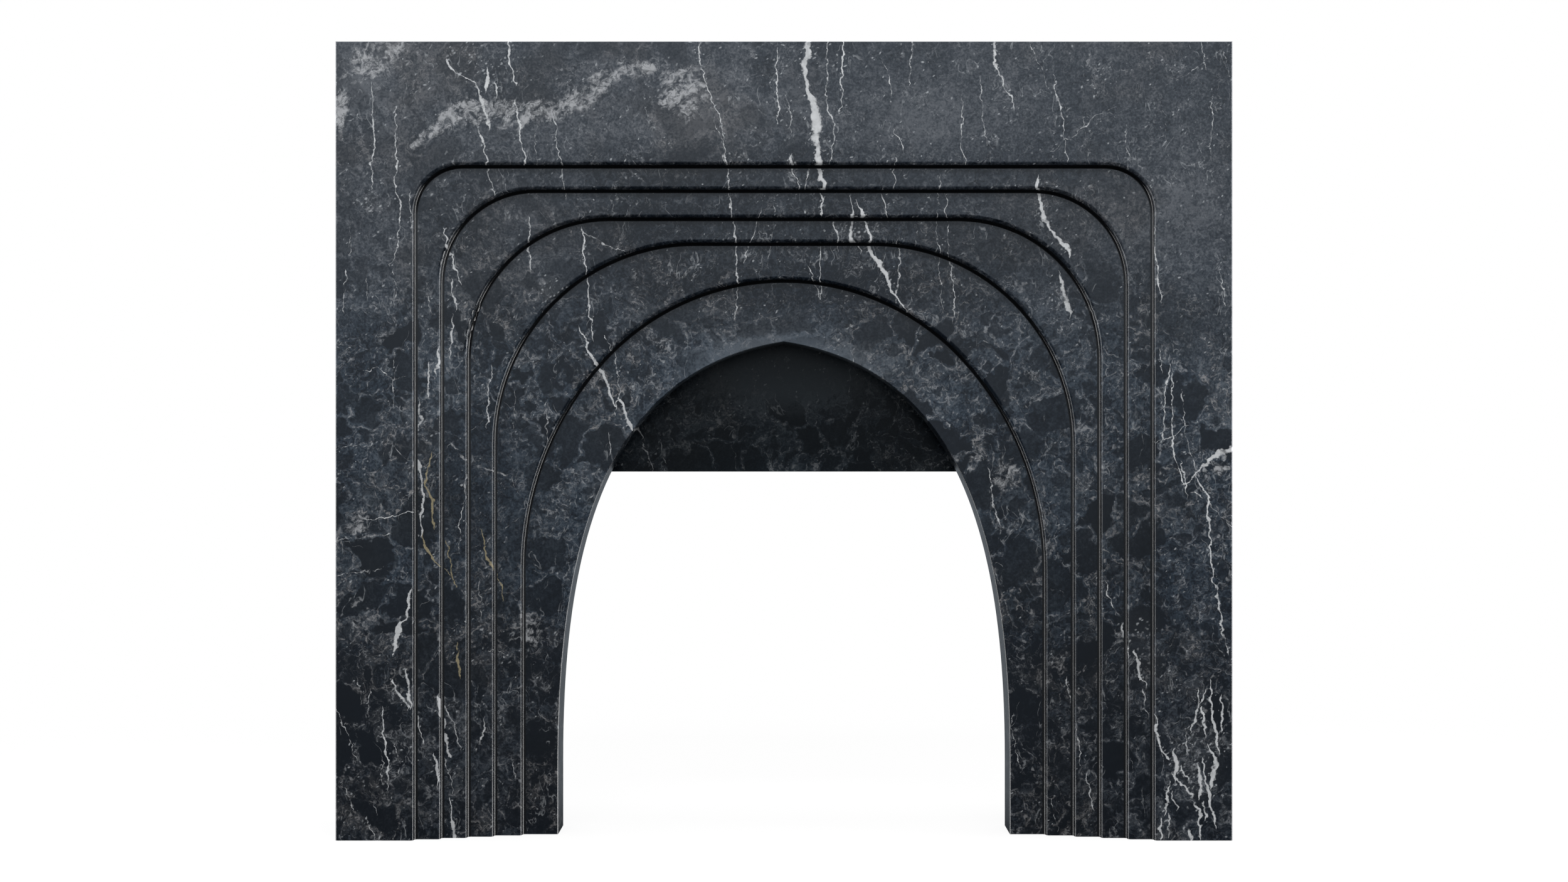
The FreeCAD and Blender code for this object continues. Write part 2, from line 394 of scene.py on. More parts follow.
@dataclass(frozen=True)
class Region:
    """The part of the slab that some pieces show, in millimetres."""

    left: float
    right: float
    low: float
    high: float

    @classmethod
    def around(cls, pieces: Sequence[str], room: float = 70.0) -> "Region":
        """Finds it from the pieces' boxes, with room for the sides that are unrolled.

        Args:
            pieces: Names of the pieces.
            room: How far what lies beside it can reach in.

        Returns:
            The region.
        """
        boxes = [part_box(piece) for piece in pieces]
        deep = max(high[1] - low[1] for low, high in boxes) / MM
        return cls(left=min(low[0] for low, _ in boxes) / MM - deep - room,
                   right=max(high[0] for _, high in boxes) / MM + deep + room,
                   low=min(low[2] for low, _ in boxes) / MM - room,
                   high=max(high[2] for _, high in boxes) / MM + room)

    def shows(self, drawn: Union[Vein, Patch]) -> bool:
        """Whether a vein or a patch reaches into it."""
        left, right, low, high = drawn.extent()
        return left < self.right and right > self.left and low < self.high and high > self.low


UPRIGHT_VEINS = (
    # head, middle
    Vein(1.0, ((39, 1262, 5), (37, 1226, 7), (31, 1215, 9), (35, 1192, 3), (36, 1175, 4), (43, 1161, 7),
               (48, 1139, 10), (50, 1121, 11), (51, 1101, 11), (53, 1080, 8), (54, 1059, 6), (56, 1042, 4),
               (63, 1024, 6), (58, 1012, 2), (59, 980, 1.5))),
    Vein(0.9, ((93, 1262, 1.6), (90, 1214, 2.4), (89, 1196, 2.4), (92, 1168, 1.4), (86, 1137, 1))),
    Vein(0.7, ((69, 1262, 1), (66, 1223, 1.2), (67, 1196, 1), (65, 1166, 1), (69, 1137, 1.6), (78, 1123, 1.6),
               (77, 1096, 1.6), (72, 1059, 1.3))),
    Vein(0.8, ((-10, 1234, 0.8), (-13, 1191, 1.4), (-11, 1168, 1.4), (-8, 1146, 1.3), (-9, 1121, 0.6))),
    Vein(0.7, ((5, 1165, 0.8), (9, 1135, 1.2), (12, 1109, 0.7))),
    Vein(0.9, ((11, 1065, 3), (18, 1039, 1.6), (24, 1021, 1.6))),
    Vein(0.8, ((40, 1049, 2), (33, 1019, 1))),
    Vein(0.75, ((-130, 1262, 1), (-132, 1216, 1.6), (-123, 1189, 1.5), (-115, 1156, 1), (-99, 1130, 1),
                (-95, 1101, 1.2), (-91, 1059, 1.6), (-86, 1019, 1), (-83, 986, 1.4), (-79, 950, 1.5),
                (-75, 931, 1.6), (-73, 874, 1.3), (-78, 820, 1))),
    Vein(0.5, ((-111, 1123, 0.8), (-99, 1101, 1), (-93, 1059, 1))),
    Vein(0.6, ((-36, 984, 0.8), (-42, 968, 1), (-50, 941, 1.2), (-64, 910, 0.8))),
    Vein(0.5, ((-15, 990, 0.9), (-16, 974, 1.2), (-21, 939, 1), (-26, 899, 0.7))),
    Vein(0.7, ((59, 928, 1.3), (58, 894, 1.6), (57, 855, 1))),
    Vein(0.7, ((38, 897, 1.3), (47, 874, 1.4), (56, 853, 0.8))),
    Vein(1.0, ((114, 999, 1.2), (123, 983, 3), (129, 965, 2.4), (139, 943, 3), (133, 931, 5), (149, 906, 6),
               (161, 884, 4.5), (173, 856, 3.5), (195, 829, 2))),
    Vein(0.8, ((102, 1003, 1), (107, 985, 2), (106, 970, 5), (106, 939, 4), (121, 927, 3))),
    Vein(0.75, ((79, 963, 2.4), (83, 941, 2), (86, 926, 1))),
    Vein(0.7, ((179, 938, 1), (183, 904, 1.6), (181, 875, 1.6), (176, 843, 0.8))),
    Vein(0.4, ((106, 789, 1), (108, 749, 1), (106, 684, 0.8))),
    # head, left
    Vein(0.9, ((-430, 1262, 1.5), (-428, 1214, 2), (-423, 1197, 2.2), (-418, 1182, 1.6))),
    Vein(0.9, ((-421, 1151, 1.6), (-414, 1125, 2.2), (-410, 1093, 2), (-404, 1057, 1.8))),
    Vein(0.9, ((-528, 1216, 3), (-510, 1194, 2), (-484, 1185, 2.2), (-473, 1162, 2.4), (-466, 1139, 2.6),
               (-461, 1113, 1.4))),
    Vein(1.0, ((-464, 1202, 2), (-462, 1192, 4), (-464, 1176, 4), (-465, 1173, 1))),
    Vein(1.0, ((-452, 1179, 1.5), (-449, 1170, 2), (-447, 1164, 1))),
    Vein(0.8, ((-479, 1111, 1), (-469, 1093, 1.8), (-464, 1056, 1.6), (-462, 1039, 1), (-456, 1011, 1))),
    Vein(0.7, ((-359, 1130, 1), (-356, 1090, 1.3), (-349, 1062, 1.5), (-348, 1039, 1.2), (-345, 1019, 1.3),
               (-345, 1005, 0.8))),
    Vein(0.5, ((-387, 1114, 0.8), (-389, 1085, 1), (-386, 1055, 1))),
    Vein(0.8, ((-402, 974, 1.6), (-399, 950, 2), (-402, 923, 2.2), (-400, 898, 1))),
    Vein(0.9, ((-317, 955, 1.2), (-316, 931, 3), (-314, 911, 1.6), (-312, 884, 1.4), (-310, 856, 1.8),
               (-303, 787, 0.8))),
    Vein(1.0, ((-326, 801, 2), (-313, 779, 2), (-305, 757, 3), (-291, 735, 4), (-281, 718, 3),
               (-276, 697, 3.4), (-266, 679, 1.4))),
    Vein(1.0, ((-263, 692, 1), (-255, 675, 3.4), (-247, 655, 4), (-238, 641, 3.2), (-233, 632, 1.4))),
    Vein(0.6, ((-281, 634, 1), (-277, 619, 1.8), (-275, 604, 1))),
    Vein(0.5, ((-203, 622, 0.8), (-200, 600, 1.2), (-197, 578, 0.8))),
    Vein(0.7, ((-286, 789, 1.2), (-269, 765, 1), (-263, 726, 1.5), (-261, 698, 1.6), (-269, 666, 1))),
    Vein(0.7, ((-234, 618, 1.6), (-223, 596, 1.5), (-215, 573, 1))),
    # head, right
    Vein(0.6, ((155, 1212, 0.8), (165, 1194, 1.3), (166, 1165, 0.8))),
    Vein(0.6, ((198, 1262, 1), (199, 1226, 1.2), (195, 1182, 0.8))),
    Vein(0.8, ((173, 1106, 1), (183, 1090, 2), (187, 1081, 0.8))),
    Vein(0.7, ((174, 1065, 2), (172, 1051, 1.1), (175, 1035, 1.2), (172, 1018, 0.8))),
    Vein(0.75, ((154, 1015, 1.1), (158, 995, 1.7), (163, 976, 1))),
    Vein(0.55, ((243, 1039, 0.7), (242, 991, 1), (240, 958, 1), (246, 914, 1), (252, 825, 0.7))),
    Vein(0.65, ((253, 1009, 0.8), (257, 958, 1.1), (259, 918, 1.1), (268, 874, 1.5), (268, 815, 0.8))),
    Vein(0.8, ((328, 1262, 2.2), (330, 1208, 2.4), (340, 1191, 2.6), (346, 1170, 2), (356, 1158, 2.6),
               (358, 1143, 1.2))),
    Vein(0.55, ((306, 1190, 0.8), (309, 1152, 1.4), (313, 1106, 1), (316, 1085, 0.8))),
    Vein(0.6, ((278, 1159, 0.8), (279, 1127, 0.8), (276, 1095, 1.2), (284, 1057, 1.1))),
    Vein(0.55, ((383, 1247, 0.8), (391, 1223, 1), (406, 1201, 1.1), (410, 1173, 0.8))),
    Vein(0.65, ((419, 1190, 0.8), (429, 1155, 1.6), (432, 1137, 1.6), (437, 1113, 1.1), (443, 1063, 0.9))),
    Vein(0.4, ((467, 1130, 0.7), (470, 1095, 0.9), (476, 1052, 0.7))),
    Vein(0.5, ((536, 1114, 1), (531, 1091, 1.1), (540, 1070, 0.9), (535, 1051, 0.7))),
    Vein(0.4, ((592, 1144, 0.7), (596, 1106, 1), (597, 1095, 0.7))),
    Vein(0.5, ((645, 1262, 0.9), (656, 1216, 1), (658, 1201, 0.7))),
    Vein(0.5, ((687, 1229, 0.9), (695, 1194, 1))),
    Vein(0.55, ((669, 1159, 0.7), (668, 1109, 1.4), (665, 1081, 1), (669, 1060, 0.7))),
    Vein(1.0, ((396, 1034, 2), (398, 1019, 3.2), (404, 996, 3.6), (412, 969, 7), (416, 960, 4), (428, 942, 5),
               (445, 926, 9), (449, 916, 4))),
    Vein(0.85, ((435, 884, 2), (439, 862, 5), (447, 839, 4), (451, 824, 2))),
    # left jambs, upper half
    Vein(0.75, ((-644, 1180, 0.7), (-642, 1142, 1), (-641, 1119, 1.6), (-638, 1079, 1.5), (-644, 1067, 1.8),
                (-643, 1025, 1))),
    Vein(0.75, ((-606, 1145, 0.7), (-606, 1076, 1.4), (-604, 1050, 2), (-608, 1019, 1.5), (-599, 1001, 1.4),
                (-599, 961, 1.2), (-606, 918, 1), (-615, 901, 0.6))),
    Vein(0.6, ((-585, 1008, 1), (-581, 979, 1.6), (-582, 957, 0.8))),
    Vein(0.5, ((-684, 887, 0.8), (-687, 852, 1.2), (-688, 822, 1.6))),
    Vein(0.5, ((-675, 968, 0.8), (-678, 940, 1.2), (-679, 914, 0.7))),
    Vein(0.45, ((-649, 892, 0.7), (-652, 868, 1), (-650, 844, 0.7))),
    Vein(0.45, ((-561, 884, 0.8), (-557, 852, 1.1), (-553, 824, 0.7))),
    Vein(0.5, ((-609, 886, 0.8), (-607, 852, 1.2), (-610, 830, 0.7))),
    Vein(0.9, ((-533, 954, 1), (-527, 928, 2), (-518, 897, 2.2), (-507, 873, 1))),
    Vein(0.8, ((-523, 873, 1.6), (-518, 847, 1.8), (-514, 831, 1))),
    Vein(0.8, ((-520, 818, 1.5), (-523, 779, 2), (-525, 759, 1))),
    Vein(0.9, ((-542, 764, 2), (-541, 749, 3.4), (-543, 731, 2.4))),
    Vein(0.75, ((-557, 744, 1.6), (-556, 718, 2.6), (-556, 693, 1.8))),
    Vein(0.5, ((-609, 758, 0.8), (-609, 724, 1.1), (-610, 680, 0.9))),
    Vein(0.8, ((-570, 683, 1.2), (-567, 659, 2), (-570, 646, 1.4))),
    Vein(0.75, ((-460, 738, 1), (-466, 699, 1.8), (-468, 649, 1.4))),
    Vein(0.45, ((-425, 716, 0.7), (-425, 649, 0.8))),
    Vein(0.6, ((-375, 686, 0.9), (-375, 656, 1.4), (-374, 624, 0.8))),
    # left jambs, lower half
    Vein(1.0, ((-573, 595, 2), (-572, 585, 11), (-571, 575, 2.4), (-567, 568, 1.4), (-566, 535, 2.2),
               (-569, 502, 2), (-568, 476, 1.6))),
    Vein(0.6, ((-500, 567, 1.4), (-503, 535, 1.2), (-509, 492, 1), (-509, 452, 0.8))),
    Vein(0.5, ((-481, 404, 0.9), (-479, 370, 1), (-479, 340, 0.6))),
    Vein(0.95, ((-582, 390, 2), (-587, 362, 3), (-591, 345, 2), (-599, 341, 3), (-602, 328, 5),
                (-606, 308, 4), (-611, 294, 2))),
    Vein(0.9, ((-589, 261, 2), (-586, 235, 3), (-584, 209, 1.6))),
    Vein(0.9, ((-611, 247, 1.6), (-604, 231, 3.4), (-593, 218, 3), (-587, 208, 1.6))),
    Vein(0.85, ((-628, 206, 1), (-625, 176, 1.7), (-623, 147, 1.8), (-618, 124, 1.6), (-619, 81, 1))),
    Vein(0.5, ((-625, 137, 0.8), (-628, 108, 1), (-627, 85, 0.7))),
    Vein(0.6, ((-699, 203, 0.9), (-682, 169, 1.1), (-667, 127, 0.9))),
    Vein(0.8, ((-580, 214, 1.6), (-570, 178, 1.8), (-564, 155, 1.4))),
    Vein(1.0, ((-542, 226, 2), (-540, 214, 6), (-538, 199, 3.4), (-534, 176, 1.8), (-528, 149, 2.4),
               (-526, 130, 2.6))),
    Vein(0.7, ((-534, 213, 1.2), (-519, 176, 1.5), (-508, 141, 1))),
    Vein(0.9, ((-547, 129, 2.6), (-542, 109, 3), (-543, 85, 1.4))),
    Vein(0.6, ((-533, 121, 1), (-519, 75, 0.9))),
    Vein(0.95, ((-524, 58, 1), (-521, 35, 1.8), (-520, 20, 5), (-519, 0, 6))),
    Vein(0.5, ((-648, 88, 0.8), (-635, 42, 0.9))),
    Vein(0.5, ((-668, 258, 0.8), (-664, 238, 1.2), (-660, 218, 0.8))),
    Vein(0.45, ((-643, 252, 0.7), (-646, 226, 1), (-649, 198, 0.7))),
    Vein(0.55, ((-607, 150, 0.8), (-603, 128, 1.3), (-601, 106, 0.8))),
    Vein(0.5, ((-687, 88, 0.8), (-680, 70, 1.1), (-672, 48, 0.8))),
    Vein(0.6, ((-652, 32, 1), (-638, 4, 1.2))),
    Vein(0.8, ((-470, 182, 1.8), (-472, 169, 2.2), (-478, 152, 1.2))),
    Vein(0.7, ((-429, 111, 1), (-425, 91, 1.5))),
    # right jambs, upper half
    Vein(0.8, ((575, 969, 1), (579, 920, 1.4), (583, 881, 2), (589, 844, 1.2))),
    Vein(0.6, ((681, 886, 1), (686, 857, 1.5), (689, 834, 0.8))),
    Vein(0.6, ((585, 764, 1), (589, 734, 1.3))),
    Vein(0.75, ((602, 739, 1.4), (595, 695, 1.2), (591, 627, 0.9))),
    Vein(0.8, ((605, 724, 1), (606, 636, 1.4), (608, 607, 1.8), (617, 578, 1.4), (624, 558, 1))),
    Vein(0.55, ((621, 700, 0.8), (626, 636, 1), (640, 587, 1.1), (642, 568, 0.8))),
    Vein(0.65, ((324, 577, 1.1), (331, 527, 1.8), (342, 485, 1))),
    # right jambs, lower half
    Vein(0.8, ((621, 585, 1), (626, 563, 1.6), (629, 538, 1))),
    Vein(0.95, ((644, 566, 1.6), (651, 550, 2.6), (662, 538, 2.2), (661, 519, 1.8), (664, 490, 2),
                (665, 460, 1.6), (667, 431, 2))),
    Vein(0.8, ((667, 426, 1.4), (674, 392, 2.4), (683, 335, 1.6), (692, 294, 1.8))),
    Vein(0.6, ((504, 404, 1.1), (514, 370, 1.5), (521, 356, 1))),
    Vein(1.0, ((531, 333, 2.4), (535, 306, 4), (540, 292, 2.6))),
    Vein(1.0, ((548, 294, 1.6), (554, 282, 3.5), (555, 250, 3), (568, 244, 1.6))),
    Vein(0.7, ((562, 232, 1), (565, 209, 1.2), (571, 194, 1))),
    Vein(1.0, ((580, 193, 1.8), (582, 170, 2.2), (585, 149, 2.4), (593, 137, 2.4), (599, 130, 2))),
    Vein(1.0, ((609, 135, 3), (612, 121, 6), (614, 110, 5), (610, 98, 3))),
    Vein(1.0, ((619, 111, 2), (625, 104, 3), (631, 95, 1.6))),
    Vein(1.0, ((607, 100, 2.4), (615, 93, 3.4), (626, 85, 3.4), (636, 74, 3))),
    Vein(1.0, ((645, 117, 2), (648, 101, 3.6), (651, 84, 4), (648, 71, 3))),
    Vein(0.9, ((645, 229, 1.6), (648, 216, 2.6), (643, 194, 2.8), (635, 173, 2))),
    Vein(0.9, ((656, 231, 1.4), (653, 221, 2.2), (649, 214, 1.6))),
    Vein(0.9, ((651, 206, 1.6), (655, 190, 2.4), (658, 166, 1.6))),
    Vein(1.0, ((665, 246, 1.2), (666, 222, 2.2), (668, 202, 2.6), (672, 182, 2.8), (675, 162, 2.4),
               (678, 141, 2))),
    Vein(0.9, ((683, 219, 2), (685, 198, 3), (684, 172, 2))),
    Vein(0.8, ((628, 162, 1.4), (630, 141, 1.8))),
    Vein(1.0, ((662, 149, 2), (666, 137, 3.4), (674, 129, 3.6), (672, 105, 3.4), (668, 86, 2))),
    Vein(1.0, ((654, 121, 2), (658, 96, 3), (662, 80, 4), (664, 64, 3.6), (668, 47, 3), (675, 23, 1.6))),
    Vein(1.0, ((642, 56, 2), (650, 47, 3.4), (647, 27, 3), (648, 5, 2.4))),
    Vein(0.9, ((655, 57, 1.8), (657, 39, 2.2))),
    Vein(0.9, ((602, 85, 1.6), (598, 66, 2.6), (595, 45, 1.8))),
    Vein(0.9, ((587, 31, 2), (588, 5, 2.4))),
    Vein(0.8, ((601, 39, 1.6), (600, 6, 1.8))),
    Vein(0.8, ((605, 72, 1.6), (612, 51, 2))),
    Vein(0.9, ((632, 15, 3), (635, 4, 4.5))),
    Vein(0.7, ((447, 246, 1), (453, 213, 1.4))),
    Vein(0.7, ((460, 172, 1), (465, 142, 1.4), (466, 118, 1))),
    Vein(0.8, ((476, 98, 1.2), (481, 73, 2), (488, 48, 1.2))),
    Vein(0.5, ((422, 60, 0.9), (433, 10, 1))),
    Vein(0.6, ((362, 187, 0.9), (364, 149, 1.3), (375, 107, 1.6))),
    # returns, unrolled past the front corners
    Vein(0.9, ((-770, 1262, 2), (-762, 1130, 3), (-781, 1010, 2), (-774, 900, 1))),
    Vein(0.7, ((-850, 990, 1), (-842, 820, 2), (-856, 660, 1.4), (-849, 560, 0.7))),
    Vein(0.8, ((-748, 470, 1), (-760, 330, 2.4), (-752, 180, 1.8), (-764, 40, 2.6))),
    Vein(0.6, ((-886, 420, 0.8), (-878, 250, 1.6), (-890, 90, 1))),
    Vein(0.8, ((760, 1180, 1), (772, 1040, 2.2), (765, 900, 1.6), (779, 760, 0.8))),
    Vein(0.6, ((868, 1262, 1.2), (860, 1110, 1.6), (874, 930, 0.8))),
    Vein(0.9, ((742, 560, 1.2), (755, 400, 3), (749, 250, 2), (761, 60, 3))),
    Vein(0.7, ((846, 600, 0.9), (858, 430, 1.8), (852, 240, 1), (866, 90, 1.6))),
)
LEVEL_VEINS = (
    Vein(0.5, ((418, 1076, 0.8), (440, 1093, 1.3), (462, 1108, 1.3), (483, 1128, 1.2), (515, 1145, 0.8))),
    Vein(0.4, ((565, 1078, 0.8), (580, 1090, 1), (595, 1103, 0.8))),
    Vein(0.4, ((577, 1173, 0.8), (610, 1183, 1), (656, 1216, 1), (680, 1233, 0.7))),
    Vein(0.6, ((-316, 954, 1), (-280, 932, 1.6), (-254, 920, 0.8))),
    Vein(0.5, ((-648, 734, 0.8), (-636, 741, 1), (-611, 720, 1.1), (-597, 726, 0.8))),
    Vein(0.5, ((-699, 610, 0.8), (-679, 617, 1), (-650, 614, 0.9), (-621, 624, 1), (-601, 607, 1.1),
               (-588, 594, 0.9))),
    Vein(0.45, ((-567, 582, 0.8), (-522, 619, 0.9), (-475, 656, 0.8))),
    Vein(0.4, ((-533, 633, 2), (-513, 607, 3), (-495, 590, 3), (-460, 577, 2.6), (-435, 567, 3),
               (-419, 537, 2))),
    Vein(0.8, ((-647, 502, 0.8), (-621, 504, 1.1), (-604, 507, 1.2), (-581, 514, 1))),
    Vein(0.5, ((-699, 467, 1), (-660, 473, 1.1), (-618, 477, 0.8))),
    Vein(0.4, ((-481, 456, 0.7), (-446, 481, 0.8), (-413, 505, 0.7))),
    Vein(0.45, ((-700, 412, 0.8), (-655, 420, 1.1), (-608, 423, 0.8))),
    Vein(0.5, ((-459, 294, 0.9), (-446, 289, 1.2), (-430, 280, 0.9))),
    Vein(0.9, ((629, 556, 2), (646, 578, 3.5), (664, 593, 5), (683, 607, 6), (703, 613, 5))),
    Vein(0.7, ((587, 622, 0.8), (609, 633, 1), (626, 646, 0.8))),
    Vein(0.6, ((641, 543, 1.4), (661, 529, 1.8), (701, 485, 1.2))),
)
OCHRE_VEINS = (
    Vein(0.9, ((-551, 599, 1.2), (-559, 577, 1.8), (-561, 555, 1.6), (-552, 535, 2.4), (-551, 516, 1.6),
               (-547, 491, 1.2))),
    Vein(0.9, ((-567, 476, 1.2), (-557, 450, 2), (-552, 437, 2.4), (-537, 425, 1.4), (-523, 415, 1.4))),
    Vein(0.8, ((-478, 481, 0.9), (-470, 449, 1.6), (-463, 431, 2.4), (-451, 403, 1.6), (-442, 372, 1))),
    Vein(0.7, ((-530, 462, 1), (-516, 400, 1.4))),
    Vein(0.7, ((-514, 304, 2), (-512, 287, 3), (-509, 257, 1.6))),
)
CLOUD_BANDS = (
    Vein(0.9, ((-580, 1084, 8), (-538, 1118, 20), (-499, 1141, 26), (-453, 1138, 28), (-407, 1130, 28),
               (-373, 1138, 24), (-331, 1151, 24), (-293, 1176, 28), (-258, 1200, 22), (-205, 1203, 12))),
)
PATCHES = (
    Patch(Bloom.CLOUD, -640, 1214, 84, 42, -18, 0.9),
    Patch(Bloom.CLOUD, -692, 1142, 15, 44, 5, 1.4),
    Patch(Bloom.CLOUD, -158, 1166, 46, 50, -28, 1.05),
    Patch(Bloom.CLOUD, 478, 1216, 17, 36, -15, 0.7),
    Patch(Bloom.CLOUD, -406, 328, 38, 40, 0, 0.8),
    Patch(Bloom.CLOUD, 352, 568, 26, 36, 10, 0.95),
    Patch(Bloom.CLOUD, 672, 587, 32, 26, -25, 0.8),
    Patch(Bloom.CLOUD, -670, 488, 34, 24, -25, 0.75),
    Patch(Bloom.CLOUD, -661, 348, 30, 36, 0, 0.45),
    Patch(Bloom.CLOUD, -232, 880, 10, 14, 0, 0.6),
    Patch(Bloom.FLECKS, -494, 1231, 50, 18, 0, 0.9),
    Patch(Bloom.FLECKS, -460, 1200, 60, 40, 0, 0.5),
    Patch(Bloom.FLECKS, -367, 861, 28, 30, 0, 1.0),
    Patch(Bloom.FLECKS, 641, 122, 48, 74, 0, 0.8),
    Patch(Bloom.FLECKS, -646, 994, 28, 22, 0, 0.9),
    Patch(Bloom.FLECKS, 431, 852, 18, 34, 0, 0.9),
    Patch(Bloom.FLECKS, 12, 1046, 12, 24, 0, 0.9),
    Patch(Bloom.FLECKS, 110, 955, 40, 40, 20, 0.7),
    Patch(Bloom.FLECKS, 560, 300, 36, 80, -10, 0.6),
    Patch(Bloom.FLECKS, -560, 640, 30, 60, 0, 0.4),
    # mist patches: pale haze, partly the stone's own and partly painted light brightening the upper face
    Patch(Bloom.MIST, 215, 1140, 90, 60, 0, 0.55),
    Patch(Bloom.MIST, -60, 1160, 190, 90, 0, 0.5),
    Patch(Bloom.MIST, -420, 1090, 190, 60, -15, 0.5),
    Patch(Bloom.MIST, -620, 1200, 110, 70, 0, 0.8),
    Patch(Bloom.MIST, 640, 950, 130, 150, 0, 0.75),
    Patch(Bloom.MIST, -640, 960, 90, 150, 0, 0.6),
    Patch(Bloom.MIST, -675, 494, 40, 40, 0, 0.5),
    Patch(Bloom.MIST, 560, 480, 120, 70, 0, 0.3),
    Patch(Bloom.MIST, -560, 700, 60, 110, 0, 0.75),
    Patch(Bloom.MIST, -640, 400, 70, 90, 0, 0.3),
    Patch(Bloom.DARK, -30, 1200, 22, 46, 0, 0.8),
    Patch(Bloom.DARK, -590, 1190, 40, 46, 20, 0.7),
    Patch(Bloom.DARK, 108, 1070, 44, 20, 0, 0.6),
    # painted light: brightens the top of the recessed panel, where the arch's shadow falls
    Patch(Bloom.MIST, 0, 735, 190, 70, 0, 2.4),
    # painted shade, with some of the stone's own dark: these patches darken the recessed steps and the arch
    # under the header, the panel behind the arch and the foot of the jambs
    Patch(Bloom.DARK, -660, 150, 90, 150, 0, 0.5),
    Patch(Bloom.DARK, 0, 940, 460, 130, 0, 0.7),
    Patch(Bloom.DARK, -290, 780, 130, 110, 0, 0.65),
    Patch(Bloom.DARK, 0, 875, 330, 55, 0, 1.0),
    Patch(Bloom.DARK, 0, 1040, 560, 60, 0, 0.6),
    Patch(Bloom.DARK, 205, 620, 100, 60, 0, 0.4),
    Patch(Bloom.DARK, 370, 170, 70, 220, 0, 0.5),
    Patch(Bloom.DARK, -370, 170, 70, 220, 0, 0.4),
    Patch(Bloom.PLAIN, 420, 1120, 420, 210, 0, 1.0),
    Patch(Bloom.PLAIN, 0, 900, 330, 110, 0, 0.8),
    Patch(Bloom.PLAIN, 650, 880, 90, 150, 0, 0.9),
    Patch(Bloom.PLAIN, -330, 1060, 120, 60, 0, 0.6),
    Patch(Bloom.PLAIN, 0, 735, 190, 70, 0, 1.0),
    Patch(Bloom.PLAIN, -470, 540, 90, 150, 0, 0.75),
)


@dataclass(frozen=True)
class Tints:
    """Colours of the stone's figure."""

    deep: Colour = (0.0045, 0.0068, 0.0108)
    ground: Colour = (0.0205, 0.0265, 0.0355)
    haze: Colour = (0.077, 0.085, 0.098)
    lace: Colour = (0.225, 0.235, 0.25)
    fleck: Colour = (0.36, 0.38, 0.40)
    cloud: Colour = (0.35, 0.36, 0.375)
    vein: Colour = (0.56, 0.575, 0.59)
    ochre: Colour = (0.31, 0.265, 0.165)
    warmth: Colour = (1.14, 1.02, 0.92)
    chill: Colour = (0.86, 1.0, 1.10)


# painted shade: a darker copy of the stone's colours for the panel, which sits recessed in the arch's shadow
SHADED_TINTS = Tints(deep=(0.0026, 0.0052, 0.0080), ground=(0.0145, 0.0190, 0.0240),
                     haze=(0.052, 0.057, 0.062), lace=(0.135, 0.145, 0.155), fleck=(0.24, 0.26, 0.275),
                     cloud=(0.16, 0.165, 0.17), vein=(0.42, 0.44, 0.46))
SHADED_INDEX = 1.3


@dataclass
class Canvas:
    """One point of the stone while its figure is laid: places in millimetres, and what the layers share."""

    graph: Graph
    region: Region
    tints: Tints
    # place on the unrolled slab, height above the floor, and the place as it is warped
    across: Shade
    through: Shade
    up: Shade
    height: Shade
    slab: Shade
    wide: Shade
    fine: Shade
    bent: Shade
    # noises, from fine to coarse
    grain: Shade
    grit: Shade
    crumb: Shade
    # how pale the slab grows upwards, partly its own tone and partly painted light from above, how even and
    # how stony it is here, and its patches
    lift: Shade
    calm: Shade
    wild: Shade
    here: dict[Bloom, Term]
    # what the layers leave
    white: Term = 0.0
    ochre: Term = 0.0
    shatter: Term = 0.0
    stone: Term = 0.0
    clump: Term = 0.0
    colour: Optional[Shade] = None

    def paint(self, share: Term, tint: Term) -> None:
        """Mixes a colour into the stone's."""
        self.colour = self.graph.mix(share, self.colour, tint)


class Layer(ABC):
    """One layer of the figure."""

    @abstractmethod
    def lay(self, canvas: Canvas) -> None:
        """Lays it on the stone, and leaves there what later layers ask for.

        Args:
            canvas: The stone so far.
        """


def shared(share: Span, value: Term) -> Term:
    """A least share, and as much more as the value says."""
    return share[0] + share[1] * value


def slanted(graph: Graph, place: Shade, stretch: float) -> Shade:
    """Draws a pattern out along the diagonal that rises to the right.

    Args:
        graph: The tree that is being built.
        place: Where the pattern is read, in millimetres.
        stretch: How many times longer it gets.

    Returns:
        Where to read it instead.
    """
    return graph.node("ShaderNodeMapping", {"vector_type": "TEXTURE"},
                      {"Vector": place, "Rotation": (0.0, math.radians(-SLANT), 0.0),
                       "Scale": (stretch, 1.0, 1.0)})


